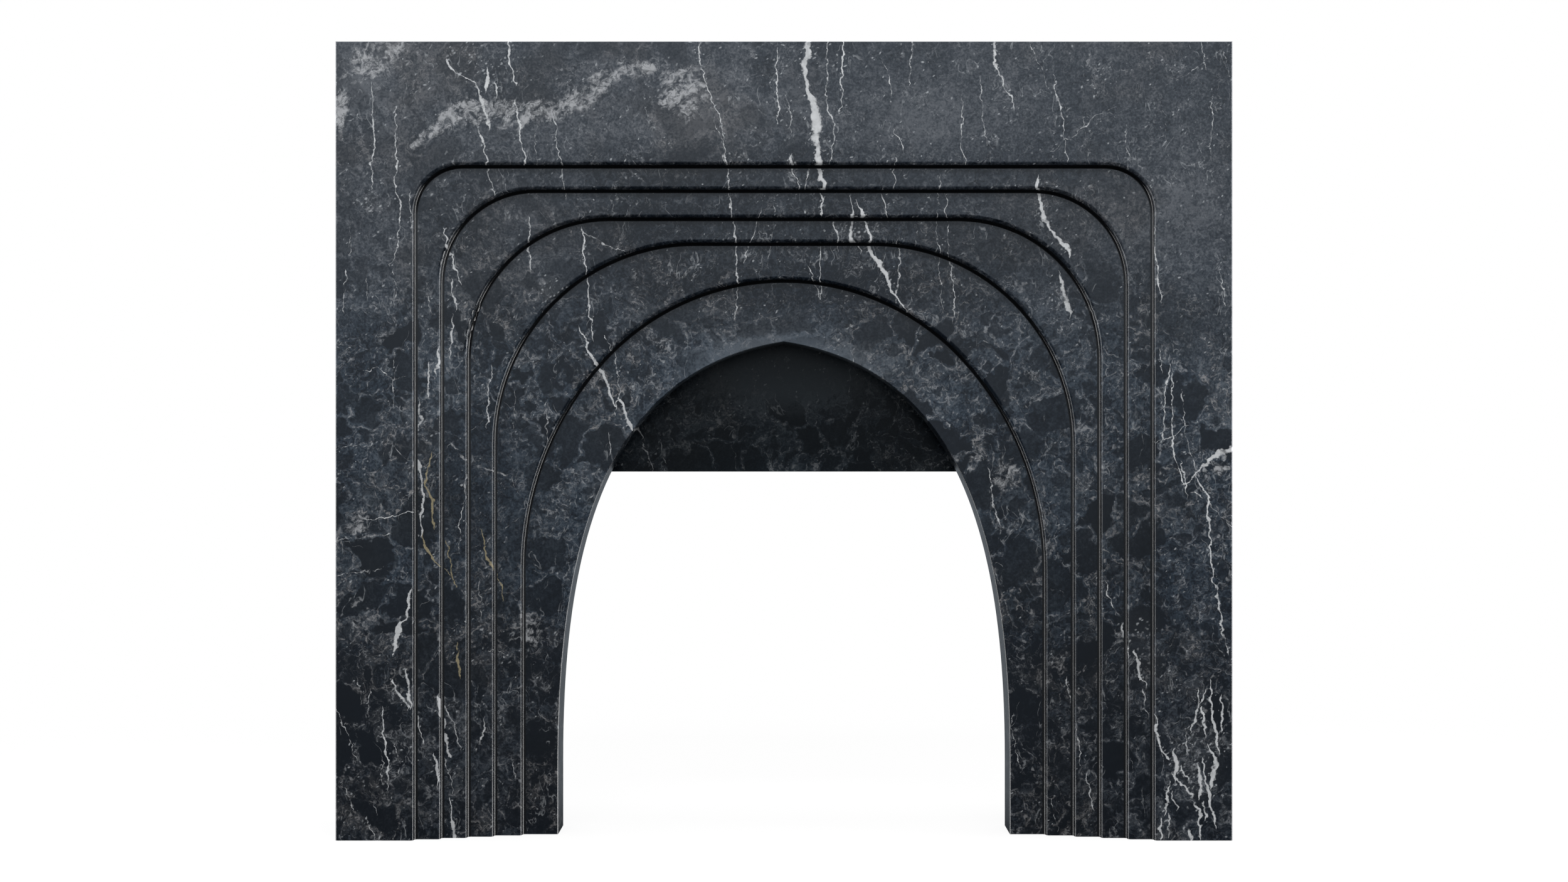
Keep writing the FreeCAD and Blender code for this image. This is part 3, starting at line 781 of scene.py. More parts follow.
@dataclass(frozen=True)
class Slab:
    """The slab that the surround is cut from, unrolled round its outer corners, in millimetres."""

    half_width: float = CAD_BOX[1].x / MM
    front: float = CAD_BOX[0].y / MM
    top: float = CAD_BOX[1].z / MM
    corner: Span = (0.7, 0.21)
    thickness_pull: float = 0.7
    wide_noise: Grain = (75.0, 2.0, 0.5)
    wide_warp: float = 70.0
    fine_noise: Grain = (15.0, 2.0, 0.5)
    fine_warp: float = 26.0
    grain: Grain = (3.6, 3.0, 0.6)
    crumb: Grain = (10.0, 5.0, 0.68)
    grit: Grain = (8.0, 3.0, 0.6)
    patch_edge: Span = (1.25, 0.3)
    # paler up the slab: partly the stone's tone and partly painted light from above
    top_tone_and_painted_light_heights: Span = (60.0, 900.0)
    calm_heights: Span = (640.0, 980.0)
    calm_most: float = 0.85
    wild_heights: Span = (980.0, 760.0)
    wild_share: Span = (0.5, 0.5)

    def outside(self, graph: Graph, x: Shade, z: Shade) -> tuple[Shade, Shade]:
        """Masks of the outer sides and of the top face."""
        near, turned = self.corner
        return (graph.rise(abs(x), self.half_width - near, self.half_width - turned),
                graph.rise(z, self.top - near, self.top - turned))

    def patches(self, graph: Graph, region: Region, bloom: Bloom, across: Shade, height: Shade) -> Term:
        """Gathers the patches of one kind.

        Args:
            graph: The tree that is being built.
            region: The part of the slab that shows.
            bloom: The kind.
            across: Place across the slab, in millimetres.
            height: Height above the floor, in millimetres.

        Returns:
            Their strength, 0 outside them.
        """
        place = graph.joined(across, 0.0, height)
        masks = []
        for patch in PATCHES:
            if patch.bloom is not bloom or not region.shows(patch):
                continue
            inside = graph.node("ShaderNodeMapping", {"vector_type": "TEXTURE"},
                                {"Vector": place, "Location": (patch.across, 0.0, patch.height),
                                 "Rotation": (0.0, math.radians(patch.turn), 0.0),
                                 "Scale": (patch.half_width, 1.0, patch.half_height)})
            masks.append(graph.rise(graph.length(inside), *self.patch_edge) * patch.strength)
        return graph.largest(masks)

    def canvas(self, graph: Graph, region: Region, tints: Tints) -> Canvas:
        """Unrolls the piece's own coordinates and works out what the layers share.

        Args:
            graph: The tree that is being built.
            region: The part of the slab that shows.
            tints: The stone's colours.

        Returns:
            The bare stone.
        """
        x, y, z = graph.parts(graph.place())
        on_side, on_top = self.outside(graph, x, z)
        depth = y - self.front
        across = x + graph.maths("SIGN", x) * on_side * depth
        through = y * self.thickness_pull
        up = z + on_top * depth
        slab = graph.joined(across, through, up)
        wide = graph.swing(slab, self.wide_noise, output=1) * self.wide_warp
        fine = graph.swing(slab, self.fine_noise, output=1) * self.fine_warp
        here = {bloom: self.patches(graph, region, bloom, across, z) for bloom in Bloom}
        calm = graph.largest([here[Bloom.PLAIN], graph.rise(z, *self.calm_heights) * self.calm_most])
        wild = (1.0 - here[Bloom.PLAIN]) * shared(self.wild_share, graph.rise(z, *self.wild_heights))
        return Canvas(graph=graph, region=region, tints=tints, across=across, through=through, up=up,
                      height=z, slab=slab, wide=wide, fine=fine, bent=slab + wide + fine,
                      grain=graph.noise(slab, *self.grain), crumb=graph.noise(slab, *self.crumb),
                      grit=graph.noise(slab + fine, *self.grit), lift=graph.rise(z, *self.top_tone_and_painted_light_heights),
                      calm=calm * (1.0 - here[Bloom.FLECKS]), wild=wild, here=here)


@dataclass(frozen=True)
class Ground(Layer):
    """The dark ground and its haze, which grows paler with height, partly as painted light from above, and is
    smoother where the stone is calm.
    """

    broad: Grain = (190.0, 3.0, 0.5)
    mottle: Grain = (28.0, 5.0, 0.62)
    mottle_share: Span = (0.95, -0.5)
    fibres: Grain = (9.0, 4.0, 0.62)
    fibre_stretch: float = 2.8
    fine_share: Span = (1.1, -0.3)
    grain_share: float = 1.3
    top_tone_and_painted_light_share: float = 0.30
    darkness: float = 0.17
    mist_and_painted_light_share: float = 0.32
    dark_and_painted_shade_share: float = 0.42
    ground_span: Span = (-0.38, 0.14)
    haze_span: Span = (0.0, 0.66)
    cool_below: Span = (980.0, 700.0)
    cool_above: Span = (150.0, 420.0)

    def lay(self, canvas: Canvas) -> None:
        """Lays the ground.

        Args:
            canvas: The stone so far.
        """
        graph = canvas.graph
        tints = canvas.tints
        fibres = graph.swing(slanted(graph, canvas.slab + canvas.fine, self.fibre_stretch), self.fibres)
        fine_share = shared(self.fine_share, canvas.calm)
        tone = graph.swing(canvas.slab, self.broad)
        tone = tone + graph.swing(canvas.bent, self.mottle) * shared(self.mottle_share, canvas.calm)
        tone = tone + fibres * fine_share + (canvas.grit - 0.5) * fine_share
        # painted light: the ground grows paler with height, partly the stone's tone and partly the brighter
        # light from above
        tone = tone + (canvas.grain - 0.5) * self.grain_share + canvas.lift * self.top_tone_and_painted_light_share - self.darkness
        # mist patches pale the ground and dark patches darken it: partly the stone's figure, partly painted
        # light and painted shade
        tone = tone + canvas.here[Bloom.MIST] * self.mist_and_painted_light_share - canvas.here[Bloom.DARK] * self.dark_and_painted_shade_share
        canvas.colour = graph.mix(graph.rise(tone, *self.ground_span), tints.deep, tints.ground)
        canvas.paint(graph.rise(tone, *self.haze_span), tints.haze)
        cool = graph.rise(canvas.height, *self.cool_below) * graph.rise(canvas.height, *self.cool_above)
        canvas.paint(cool, canvas.colour * tints.chill)


@dataclass(frozen=True)
class Stones(Layer):
    """Smooth dark stones in the ground, large and small, in millimetres, and pale lace between them."""

    large_size: float = 60.0
    large_edge: Span = (0.05, 0.10)
    large_pick: Span = (0.48, 0.46)
    small_size: float = 24.0
    small_edge: Span = (0.06, 0.14)
    small_pick: Span = (0.34, 0.32)
    small_strength: float = 0.8
    strength: Span = (0.6, 0.35)
    clump: Grain = (36.0, 3.0, 0.6)
    clump_span: Span = (0.48, 0.64)
    clump_strength: float = 0.06
    thread: Grain = (13.0, 2.0, 0.5)
    thread_width: Span = (0.032, 0.008)
    thread_strength: float = 0.7
    strand: Grain = (38.0, 3.0, 0.55)
    strand_width: Span = (0.011, 0.002)
    strand_share: Span = (0.35, 0.65)
    rim_width: Span = (0.030, 0.008)
    rim_breaks: Span = (0.42, 0.58)
    web_width: Span = (0.045, 0.010)
    web_breaks: Span = (0.40, 0.56)
    web_share: Span = (0.2, 0.8)
    calm_share: Span = (1.0, -0.55)
    top_tone_and_painted_light_share: Span = (0.62, 0.38)
    breaks: Span = (0.36, 0.60)

    def lay(self, canvas: Canvas) -> None:
        """Lays the stones, then the lace.

        Args:
            canvas: The stone so far.
        """
        graph = canvas.graph
        large_edge = graph.cells(canvas.bent, self.large_size, "DISTANCE_TO_EDGE")
        small_edge = graph.cells(canvas.bent, self.small_size, "DISTANCE_TO_EDGE")
        large = graph.cell_numbers(canvas.bent, self.large_size)
        small = graph.cell_numbers(canvas.bent, self.small_size)
        large_stone = graph.rise(large_edge, *self.large_edge) * graph.rise(large, *self.large_pick)
        small_stone = graph.rise(small_edge, *self.small_edge) * graph.rise(small, *self.small_pick)
        stone = graph.largest([large_stone, small_stone * self.small_strength]) * canvas.wild
        canvas.stone = stone
        canvas.paint(stone * shared(self.strength, large.output("Green")), canvas.tints.deep)
        clump = graph.rise(graph.noise(canvas.bent, *self.clump), *self.clump_span) * (1.0 - stone)
        canvas.clump = graph.largest([clump, canvas.here[Bloom.FLECKS]])
        self.lay_lace(canvas, large_edge, small_edge)

    def lay_lace(self, canvas: Canvas, large_edge: Shade, small_edge: Shade) -> None:
        """Lays the lace: soft clumps with bright threads in them, and rims about the stones.

        Args:
            canvas: The stone so far.
            large_edge: How far the edges of the large stones are.
            small_edge: How far the edges of the small stones are.
        """
        graph, bent, crumb, clump = canvas.graph, canvas.bent, canvas.crumb, canvas.clump
        thread = graph.threads(bent, self.thread, self.thread_width) * clump * self.thread_strength
        strand = graph.threads(bent, self.strand, self.strand_width) * shared(self.strand_share, clump)
        rim = graph.rise(large_edge, *self.rim_width) * graph.rise(crumb, *self.rim_breaks) * canvas.wild
        web = graph.rise(small_edge, *self.web_width) * graph.rise(crumb, *self.web_breaks)
        web = web * shared(self.web_share, clump)
        lace = graph.largest([thread, strand, rim, web]) * (1.0 - canvas.stone)
        # the lace also fades lower down: partly the stone's tone and partly painted light from above
        lace = lace * shared(self.calm_share, canvas.calm) * shared(self.top_tone_and_painted_light_share, canvas.lift)
        canvas.paint(clump * (1.0 - canvas.calm) * self.clump_strength, canvas.tints.lace)
        canvas.paint(lace * graph.rise(canvas.grit, *self.breaks), canvas.tints.lace)


@dataclass(frozen=True)
class Warmth(Layer):
    """Broad stretches of a warmer tone."""

    areas: Grain = (140.0, 2.0, 0.5)
    span: Span = (0.47, 0.60)
    share: float = 0.5

    def lay(self, canvas: Canvas) -> None:
        """Warms the stone.

        Args:
            canvas: The stone so far.
        """
        graph = canvas.graph
        warm = graph.rise(graph.noise(canvas.slab, *self.areas), *self.span)
        canvas.paint(warm * self.share, canvas.colour * canvas.tints.warmth)


@dataclass(frozen=True)
class HairVeins(Layer):
    """Upright hair veins that come and go."""

    upright: float = 0.22
    hair: Grain = (40.0, 3.0, 0.5)
    width: Span = (0.010, 0.002)
    areas: Grain = (60.0, 2.0, 0.5)
    area_span: Span = (0.53, 0.60)
    breaks: Span = (0.42, 0.56)
    strength: float = 0.4

    def lay(self, canvas: Canvas) -> None:
        """Lays the hair veins.

        Args:
            canvas: The stone so far.
        """
        graph = canvas.graph
        tall = graph.joined(canvas.across, canvas.through, canvas.up * self.upright) + canvas.wide
        hair = graph.threads(tall, self.hair, self.width)
        hair = hair * graph.rise(graph.noise(canvas.slab, *self.areas), *self.area_span)
        hair = hair * graph.rise(canvas.crumb, *self.breaks)
        canvas.paint(hair * self.strength, canvas.tints.fleck)


@dataclass(frozen=True)
class Flecks(Layer):
    """White flecks, gathered in the lace and about the veins, with their pitch in millimetres."""

    warp: float = 0.4
    stretch: float = 1.7
    pitch: float = 4.6
    size: Span = (0.20, 0.22)
    patch_size: float = 0.12
    core: float = 0.35
    rarity: float = 0.91
    patch_pull: float = 0.45
    shatter_pull: float = 0.32
    clump_pull: float = 0.25
    stone_push: float = 0.12
    cut: Span = (0.0, 0.02)
    brightness: Span = (0.25, 0.75)
    strength: float = 0.85

    def lay(self, canvas: Canvas) -> None:
        """Lays the flecks.

        Args:
            canvas: The stone so far.
        """
        graph = canvas.graph
        patch = canvas.here[Bloom.FLECKS]
        place = slanted(graph, canvas.slab + canvas.fine * self.warp, self.stretch)
        fleck = graph.cell_numbers(place, self.pitch)
        size = shared(self.size, fleck.output("Green")) + self.patch_size * patch
        least = self.rarity - patch * self.patch_pull - canvas.shatter * self.shatter_pull
        least = least - canvas.clump * self.clump_pull + canvas.stone * self.stone_push
        speck = graph.rise(graph.cells(place, self.pitch, "F1"), size, size * self.core)
        speck = speck * graph.rise(fleck - least, *self.cut) * shared(self.brightness, fleck.output("Blue"))
        canvas.paint(speck * self.strength, canvas.tints.fleck)


@dataclass(frozen=True)
class DrawnVeins(Layer):
    """Veins drawn on the slab and made jagged and swollen by noise, in millimetres."""

    heights: Span = (-20.0, 1300.0)
    breadths: Span = (-1000.0, 1000.0)
    widest: float = 40.0
    track_gap: float = 40.0
    hold: float = 12.0
    taper: float = 6.0
    fade: Span = (0.05, 0.4)
    edge: Span = (1.0, 0.2)
    shatter_share: float = 2.0
    shatter_reach: float = 9.0
    jag_noise: Grain = (16.0, 3.0, 0.55)
    jag: float = 17.0
    drift_noise: Grain = (60.0, 2.0, 0.5)
    drift: float = 2.4
    drift_back: float = 0.9
    swell_noise: Grain = (18.0, 3.0, 0.6)
    swell_share: Span = (0.1, 1.8)
    swell: float = 1.15
    ochre_swell: float = 1.2

    def tracks(self, veins: Sequence[Vein], run: Run) -> list[list[Vein]]:
        """Shares veins out among tracks, so that no two in a track lie side by side.

        Args:
            veins: The drawn veins.
            run: The way that they run.

        Returns:
            The tracks, each with its veins in order.
        """
        along = 1 if run is Run.UPRIGHT else 0
        tracks: list[list[Vein]] = []
        for vein in sorted(veins, key=lambda one: min(place[along] for place in one.places)):
            start = min(place[along] for place in vein.places)
            for track in tracks:
                if start > max(place[along] for place in track[-1].places) + self.track_gap:
                    track.append(vein)
                    break
            else:
                tracks.append([vein])
        return tracks

    def track_masks(self, graph: Graph, track: Sequence[Vein], run: Run, across: Shade, height: Shade,
                    swell: Term) -> tuple[Shade, Shade]:
        """Draws the veins of one track.

        Args:
            graph: The tree that is being built.
            track: Veins that follow each other.
            run: The way that they run.
            across: Place across the slab, in millimetres.
            height: Height above the floor, in millimetres.
            swell: How many times wider than drawn they are.

        Returns:
            The veins' whiteness, 0 beside them, and the strength of the shattered stone about them.
        """
        if run is Run.UPRIGHT:
            along, aside, place, beside = 1, 0, height, across
            (first, last), (low, high) = self.heights, self.breadths
        else:
            along, aside, place, beside = 0, 1, across, height
            (first, last), (low, high) = self.breadths, self.heights
        paths, widths, whites = [], [], []
        for vein in track:
            places = sorted(vein.places, key=lambda one: one[along])
            start, end = places[0][along], places[-1][along]
            paths += [(start - self.hold, places[0][aside]), *((one[along], one[aside]) for one in places),
                      (end + self.hold, places[-1][aside])]
            widths += [(start - self.taper, 0.0), *((one[along], one[2]) for one in places),
                       (end + self.taper, 0.0)]
            whites += [(start - self.hold, vein.white), (end + self.hold, vein.white)]
        curves = []
        for points, least, most in ((paths, low, high), (widths, 0.0, self.widest), (whites, 0.0, 1.0)):
            shares = [((at - first) / (last - first), (value - least) / (most - least))
                      for at, value in points]
            curves.append([(0.0, shares[0][1]), *shares, (1.0, shares[-1][1])])
        drawn = graph.node("ShaderNodeRGBCurve", {"curves": curves},
                           {"Color": (place - first) * (1.0 / (last - first))})
        path = graph.node("ShaderNodeSeparateColor", None, {0: drawn})
        half = path.output("Green") * swell * self.widest
        away = abs(beside - (path * (high - low) + low))
        white = path.output("Blue") * graph.rise(half, *self.fade)
        core = graph.rise(away / half, *self.edge)
        return core * white, graph.rise(away, half * self.shatter_share + self.shatter_reach, half) * white

    def masks(self, canvas: Canvas, veins: Sequence[Vein], run: Run, across: Shade, height: Shade,
              swell: Term) -> tuple[Term, Term]:
        """Draws all veins that run one way.

        Args:
            canvas: The stone so far.
            veins: The veins.
            run: The way that they run.
            across: Place across the slab, in millimetres.
            height: Height above the floor, in millimetres.
            swell: How many times wider than drawn they are.

        Returns:
            Their whiteness, and the strength of the shattered stone about them.
        """
        graph = canvas.graph
        shown = self.tracks([vein for vein in veins if canvas.region.shows(vein)], run)
        masks = [self.track_masks(graph, track, run, across, height, swell) for track in shown]
        return graph.largest([core for core, _ in masks]), graph.largest([shatter for _, shatter in masks])

    def lay(self, canvas: Canvas) -> None:
        """Traces the white and the ochre veins, which drift aside on the top face, without colour yet.

        Args:
            canvas: The stone so far.
        """
        graph = canvas.graph
        jag = graph.swing(canvas.slab, self.jag_noise, output=1) * self.jag
        drift = graph.noise(canvas.slab, *self.drift_noise) * self.drift - self.drift_back
        drift = (canvas.up - canvas.height) * drift
        across, _, height = graph.parts(graph.joined(canvas.across + drift, 0.0, canvas.height) + jag)
        swell = shared(self.swell_share, graph.noise(canvas.slab, *self.swell_noise)) * self.swell
        groups = ((UPRIGHT_VEINS, Run.UPRIGHT, swell), (LEVEL_VEINS, Run.LEVEL, swell),
                  (OCHRE_VEINS, Run.UPRIGHT, swell * self.ochre_swell))
        drawn = [self.masks(canvas, veins, run, across, height, width) for veins, run, width in groups]
        upright, level, canvas.ochre = (core for core, _ in drawn)
        canvas.white = graph.largest([upright, level])
        canvas.shatter = graph.largest([shatter for _, shatter in drawn])


@dataclass(frozen=True)
class BrokenVeins(Layer):
    """Colour of the drawn veins, broken along their length."""

    gap_noise: Grain = (11.0, 4.0, 0.65)
    gaps: float = 2.1
    ochre_span: Span = (0.25, 0.85)
    ochre_rim: Span = (0.02, 0.3)
    ochre_strength: float = 0.85
    white_span: Span = (0.25, 0.95)
    white_rim: Span = (0.0, 0.35)
    white_share: Span = (0.40, 1.0)

    def lay(self, canvas: Canvas) -> None:
        """Lays the ochre threads and the white veins.

        Args:
            canvas: The stone so far.
        """
        graph = canvas.graph
        gaps = graph.swing(canvas.slab, self.gap_noise) * self.gaps
        ochre, drawn = canvas.ochre, canvas.white
        if isinstance(ochre, Shade):
            thread = graph.rise(ochre + gaps, *self.ochre_span) * graph.rise(ochre, *self.ochre_rim)
            canvas.paint(thread * self.ochre_strength, canvas.tints.ochre)
        if isinstance(drawn, Shade):
            canvas.white = graph.rise(drawn + gaps, *self.white_span) * graph.rise(drawn, *self.white_rim)
            canvas.paint(canvas.white * shared(self.white_share, canvas.crumb), canvas.tints.vein)


@dataclass(frozen=True)
class Clouds(Layer):
    """Fibrous white clouds, with dark seams through them."""

    bands: DrawnVeins = DrawnVeins()
    band_swell: float = 1.4
    tongue: Grain = (14.0, 5.0, 0.62)
    tongue_stretch: float = 2.4
    tongue_share: float = 3.6
    fray: float = 1.6
    span: Span = (0.50, 1.45)
    rim: Span = (0.02, 0.35)
    seam: Grain = (18.0, 3.0, 0.55)
    seam_stretch: float = 1.8
    seam_width: Span = (0.0, 0.035)
    seam_share: Span = (0.30, 0.70)
    strength: float = 0.9

    def lay(self, canvas: Canvas) -> None:
        """Lays the clouds.

        Args:
            canvas: The stone so far.
        """
        graph = canvas.graph
        band, _ = self.bands.masks(canvas, CLOUD_BANDS, Run.LEVEL, canvas.across, canvas.height,
                                   self.band_swell)
        cloud = graph.largest([band, canvas.here[Bloom.CLOUD]])
        if isinstance(cloud, Shade):
            tongues = graph.swing(slanted(graph, canvas.bent, self.tongue_stretch), self.tongue)
            seams = graph.threads(slanted(graph, canvas.bent, self.seam_stretch), self.seam, self.seam_width)
            frayed = cloud + tongues * self.tongue_share + (canvas.grit - 0.5) * self.fray
            body = graph.rise(frayed, *self.span) * graph.rise(cloud, *self.rim)
            canvas.paint(body * shared(self.seam_share, seams) * self.strength, canvas.tints.cloud)


@dataclass(frozen=True)
class SlabPattern:
    """The whole figure of the dark stone, from the ground up."""

    tints: Tints = Tints()
    slab: Slab = Slab()
    layers: tuple[Layer, ...] = (DrawnVeins(), Ground(), Stones(), Warmth(), HairVeins(), Flecks(), Clouds(),
                                 BrokenVeins())

    def figure(self, graph: Graph, region: Region) -> Canvas:
        """Lays the figure.

        Args:
            graph: The tree that is being built.
            region: The part of the slab that shows.

        Returns:
            The stone, with its colour, the whiteness of its veins and its grain.
        """
        canvas = self.slab.canvas(graph, region, self.tints)
        for layer in self.layers:
            layer.lay(canvas)
        return canvas


@dataclass(frozen=True)
class SawMarks:
    """Marks of a stone saw: wide arcs, unevenly deep, in millimetres."""

    pitch: float
    sway_noise: Grain = (90.0, 2.0, 0.5)
    sway: float = 30.0
    lean: Span = (0.35, 0.2)
    depth_noise: Grain = (14.0, 4.0, 0.6)
    depth_span: Span = (0.38, 0.62)
    scratch_span: Span = (0.82, 1.0)

    def lay(self, graph: Graph) -> tuple[Shade, Shade]:
        """Lays the marks.

        Args:
            graph: The tree that is being built.

        Returns:
            Their height, and a mask of the paler scratches.
        """
        place = graph.place()
        x, y, z = graph.parts(place + graph.swing(place, self.sway_noise, output=1) * self.sway)
        turn = (z + x * self.lean[0] + y * self.lean[1]) * (2.0 * math.pi / self.pitch)
        wave = graph.maths("SINE", turn) * 0.5 + 0.5
        depth = graph.rise(graph.noise(place, *self.depth_noise), *self.depth_span)
        return wave * depth, graph.rise(wave, *self.scratch_span) * depth


def new_material(name: str) -> tuple[bpy.types.Material, Graph]:
    """Starts a material.

    Args:
        name: Its name.

    Returns:
        The material, and its empty tree.
    """
    made = bpy.data.materials.new(name)
    made.use_nodes = True
    return made, Graph(made.node_tree)


class Finish(ABC):
    """The finish of some pieces."""

    name: str

    @abstractmethod
    def sockets(self, graph: Graph) -> dict[str, Term]:
        """Builds what the surface shader is given.

        Args:
            graph: The tree that is being built.

        Returns:
            Values or links of the shader's inputs.
        """

    def material(self) -> bpy.types.Material:
        """Makes the material.

        Returns:
            The material.
        """
        made, graph = new_material(self.name)
        shader = graph.node("ShaderNodeBsdfPrincipled", None, self.sockets(graph))
        graph.node("ShaderNodeOutputMaterial", None, {"Surface": shader})
        return made


@dataclass(frozen=True)
class PolishedMarble(Finish):
    """Dark marble with polished faces; the faces that a mason leaves unpolished are sawn."""

    name: str
    unpolished: Unpolished
    pieces: tuple[str, ...]
    pattern: SlabPattern = SlabPattern()
    polish: float = 0.2
    grain_dulling: float = 0.10
    vein_dulling: float = 0.06
    sawn_facing: Span = (0.6, 0.9)
    sawn_roughness: float = 0.72
    sawn_tint: Colour = (0.20, 0.205, 0.215)
    sawn_share: float = 0.72
    scratch_tint: Colour = (0.30, 0.305, 0.31)
    scratch_share: float = 0.35
    saw: SawMarks = SawMarks(7.0)
    vein_relief: float = 0.06
    grain_relief: float = 0.015
    relief: Span = (0.35, 0.0006)
    index: float = 1.5

    def sawn_mask(self, graph: Graph) -> Shade:
        """Finds the unpolished faces.

        Args:
            graph: The tree that is being built.

        Returns:
            1 on them and 0 on the polished ones.
        """
        if self.unpolished is Unpolished.BACK:
            _, to_wall, _ = graph.parts(graph.node("ShaderNodeNewGeometry").output("True Normal"))
            return graph.rise(to_wall, *self.sawn_facing)
        x, _, z = graph.parts(graph.place())
        return 1.0 - graph.largest(self.pattern.slab.outside(graph, x, z))

    def sockets(self, graph: Graph) -> dict[str, Term]:
        """Builds what the surface shader is given.

        Args:
            graph: The tree that is being built.

        Returns:
            Values or links of the shader's inputs.
        """
        figure = self.pattern.figure(graph, Region.around(self.pieces))
        colour, white, grain = figure.colour, figure.white, figure.grain
        sawn = self.sawn_mask(graph)
        marks, scratches = self.saw.lay(graph)
        dull = graph.mix(self.sawn_share, colour, self.sawn_tint)
        dull = graph.mix(scratches * self.scratch_share, dull, self.scratch_tint)
        shine = self.polish + (grain - 0.5) * self.grain_dulling + white * self.vein_dulling
        rough = shine + sawn * (self.sawn_roughness - shine)
        height = sawn * marks - (1.0 - sawn) * white * self.vein_relief + grain * self.grain_relief
        return {"Base Color": graph.mix(sawn, colour, dull), "Roughness": rough,
                "Normal": graph.bump(height, *self.relief), "IOR": self.index}


@dataclass(frozen=True)
class SawnMarble(Finish):
    """The same stone cut for the hidden blocks, with saw marks and drill dust in its grain."""

    name: str
    dark: Colour = (0.10, 0.104, 0.112)
    pale: Colour = (0.27, 0.275, 0.28)
    thread_tint: Colour = (0.46, 0.46, 0.46)
    cloud: Grain = (45.0, 7.0, 0.62)
    cloud_span: Span = (0.32, 0.68)
    grain: Grain = (3.0, 4.0, 0.6)
    grain_share: float = 0.4
    thread: Grain = (60.0, 4.0, 0.55)
    thread_width: Span = (0.016, 0.003)
    thread_share: float = 0.7
    scratch_share: float = 0.25
    roughness: float = 0.75
    grain_dulling: float = 0.2
    saw: SawMarks = SawMarks(5.0)
    grain_relief: float = 0.3
    relief: Span = (0.5, 0.0008)
    index: float = 1.5

    def sockets(self, graph: Graph) -> dict[str, Term]:
        """Builds what the surface shader is given.

        Args:
            graph: The tree that is being built.

        Returns:
            Values or links of the shader's inputs.
        """
        place = graph.place()
        grain = graph.noise(place, *self.grain)
        tone = graph.noise(place, *self.cloud) + (grain - 0.5) * self.grain_share
        marks, scratches = self.saw.lay(graph)
        colour = graph.mix(graph.rise(tone, *self.cloud_span), self.dark, self.pale)
        threads = graph.threads(place, self.thread, self.thread_width)
        colour = graph.mix(threads * self.thread_share, colour, self.thread_tint)
        colour = graph.mix(scratches * self.scratch_share, colour, self.pale)
        rough = self.roughness + (grain - 0.5) * self.grain_dulling
        bump = graph.bump(marks + grain * self.grain_relief, *self.relief)
        return {"Base Color": colour, "Roughness": rough, "Normal": bump, "IOR": self.index}


@dataclass(frozen=True)
class TintedResin(Finish):
    """Black tinted stone resin, wiped into the inner corners and buffed."""

    name: str
    black: Colour = (0.0045, 0.005, 0.006)
    dust: Colour = (0.06, 0.063, 0.068)
    grain: Grain = (2.2, 4.0, 0.6)
    speck_span: Span = (0.66, 0.76)
    speck_share: float = 0.8
    smear: Grain = (30.0, 5.0, 0.6)
    smear_span: Span = (0.44, 0.62)
    gloss: float = 0.2
    smear_dulling: float = 0.2
    speck_dulling: float = 0.2
    relief: Span = (0.2, 0.0004)
    index: float = 1.5

    def sockets(self, graph: Graph) -> dict[str, Term]:
        """Builds what the surface shader is given.

        Args:
            graph: The tree that is being built.

        Returns:
            Values or links of the shader's inputs.
        """
        place = graph.place()
        grain = graph.noise(place, *self.grain)
        smear = graph.noise(place, *self.smear)
        specks = graph.rise(grain, *self.speck_span) * graph.rise(smear, *self.smear_span)
        colour = graph.mix(specks * self.speck_share, self.black, self.dust)
        rough = self.gloss + (smear - 0.5) * self.smear_dulling + specks * self.speck_dulling
        return {"Base Color": colour, "Roughness": rough, "Normal": graph.bump(grain, *self.relief),
                "IOR": self.index}


@dataclass(frozen=True)
class BrushedSteel(Finish):
    """Stainless steel with the fine lines of a belt, run up the piece."""

    name: str
    bright: Colour = (0.60, 0.605, 0.61)
    dim: Colour = (0.42, 0.43, 0.44)
    squeeze: Place = (1.0, 1.0, 0.03)
    line: Grain = (0.6, 3.0, 0.6)
    line_span: Span = (0.36, 0.64)
    smudge: Grain = (18.0, 4.0, 0.6)
    roughness: float = 0.34
    line_dulling: float = 0.25
    smudge_dulling: float = 0.25
    relief: Span = (0.15, 0.0002)

    def sockets(self, graph: Graph) -> dict[str, Term]:
        """Builds what the surface shader is given.

        Args:
            graph: The tree that is being built.

        Returns:
            Values or links of the shader's inputs.
        """
        place = graph.place()
        lines = graph.noise(place * self.squeeze, *self.line)
        smudge = graph.noise(place, *self.smudge)
        colour = graph.mix(graph.rise(lines, *self.line_span), self.dim, self.bright)
        rough = self.roughness + (lines - 0.5) * self.line_dulling + (smudge - 0.5) * self.smudge_dulling
        return {"Base Color": colour, "Roughness": rough, "Normal": graph.bump(lines, *self.relief),
                "Metallic": 1.0}


def dress(name: str, material: bpy.types.Material) -> None:
    """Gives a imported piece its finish.

    Args:
        name: The piece's name.
        material: The finish.
    """
    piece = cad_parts[name]
    if not piece.material_slots:
        piece.data.materials.append(material)
    for slot in piece.material_slots:
        slot.material = material
    LOG.info("dressed %s in %s", name, material.name)


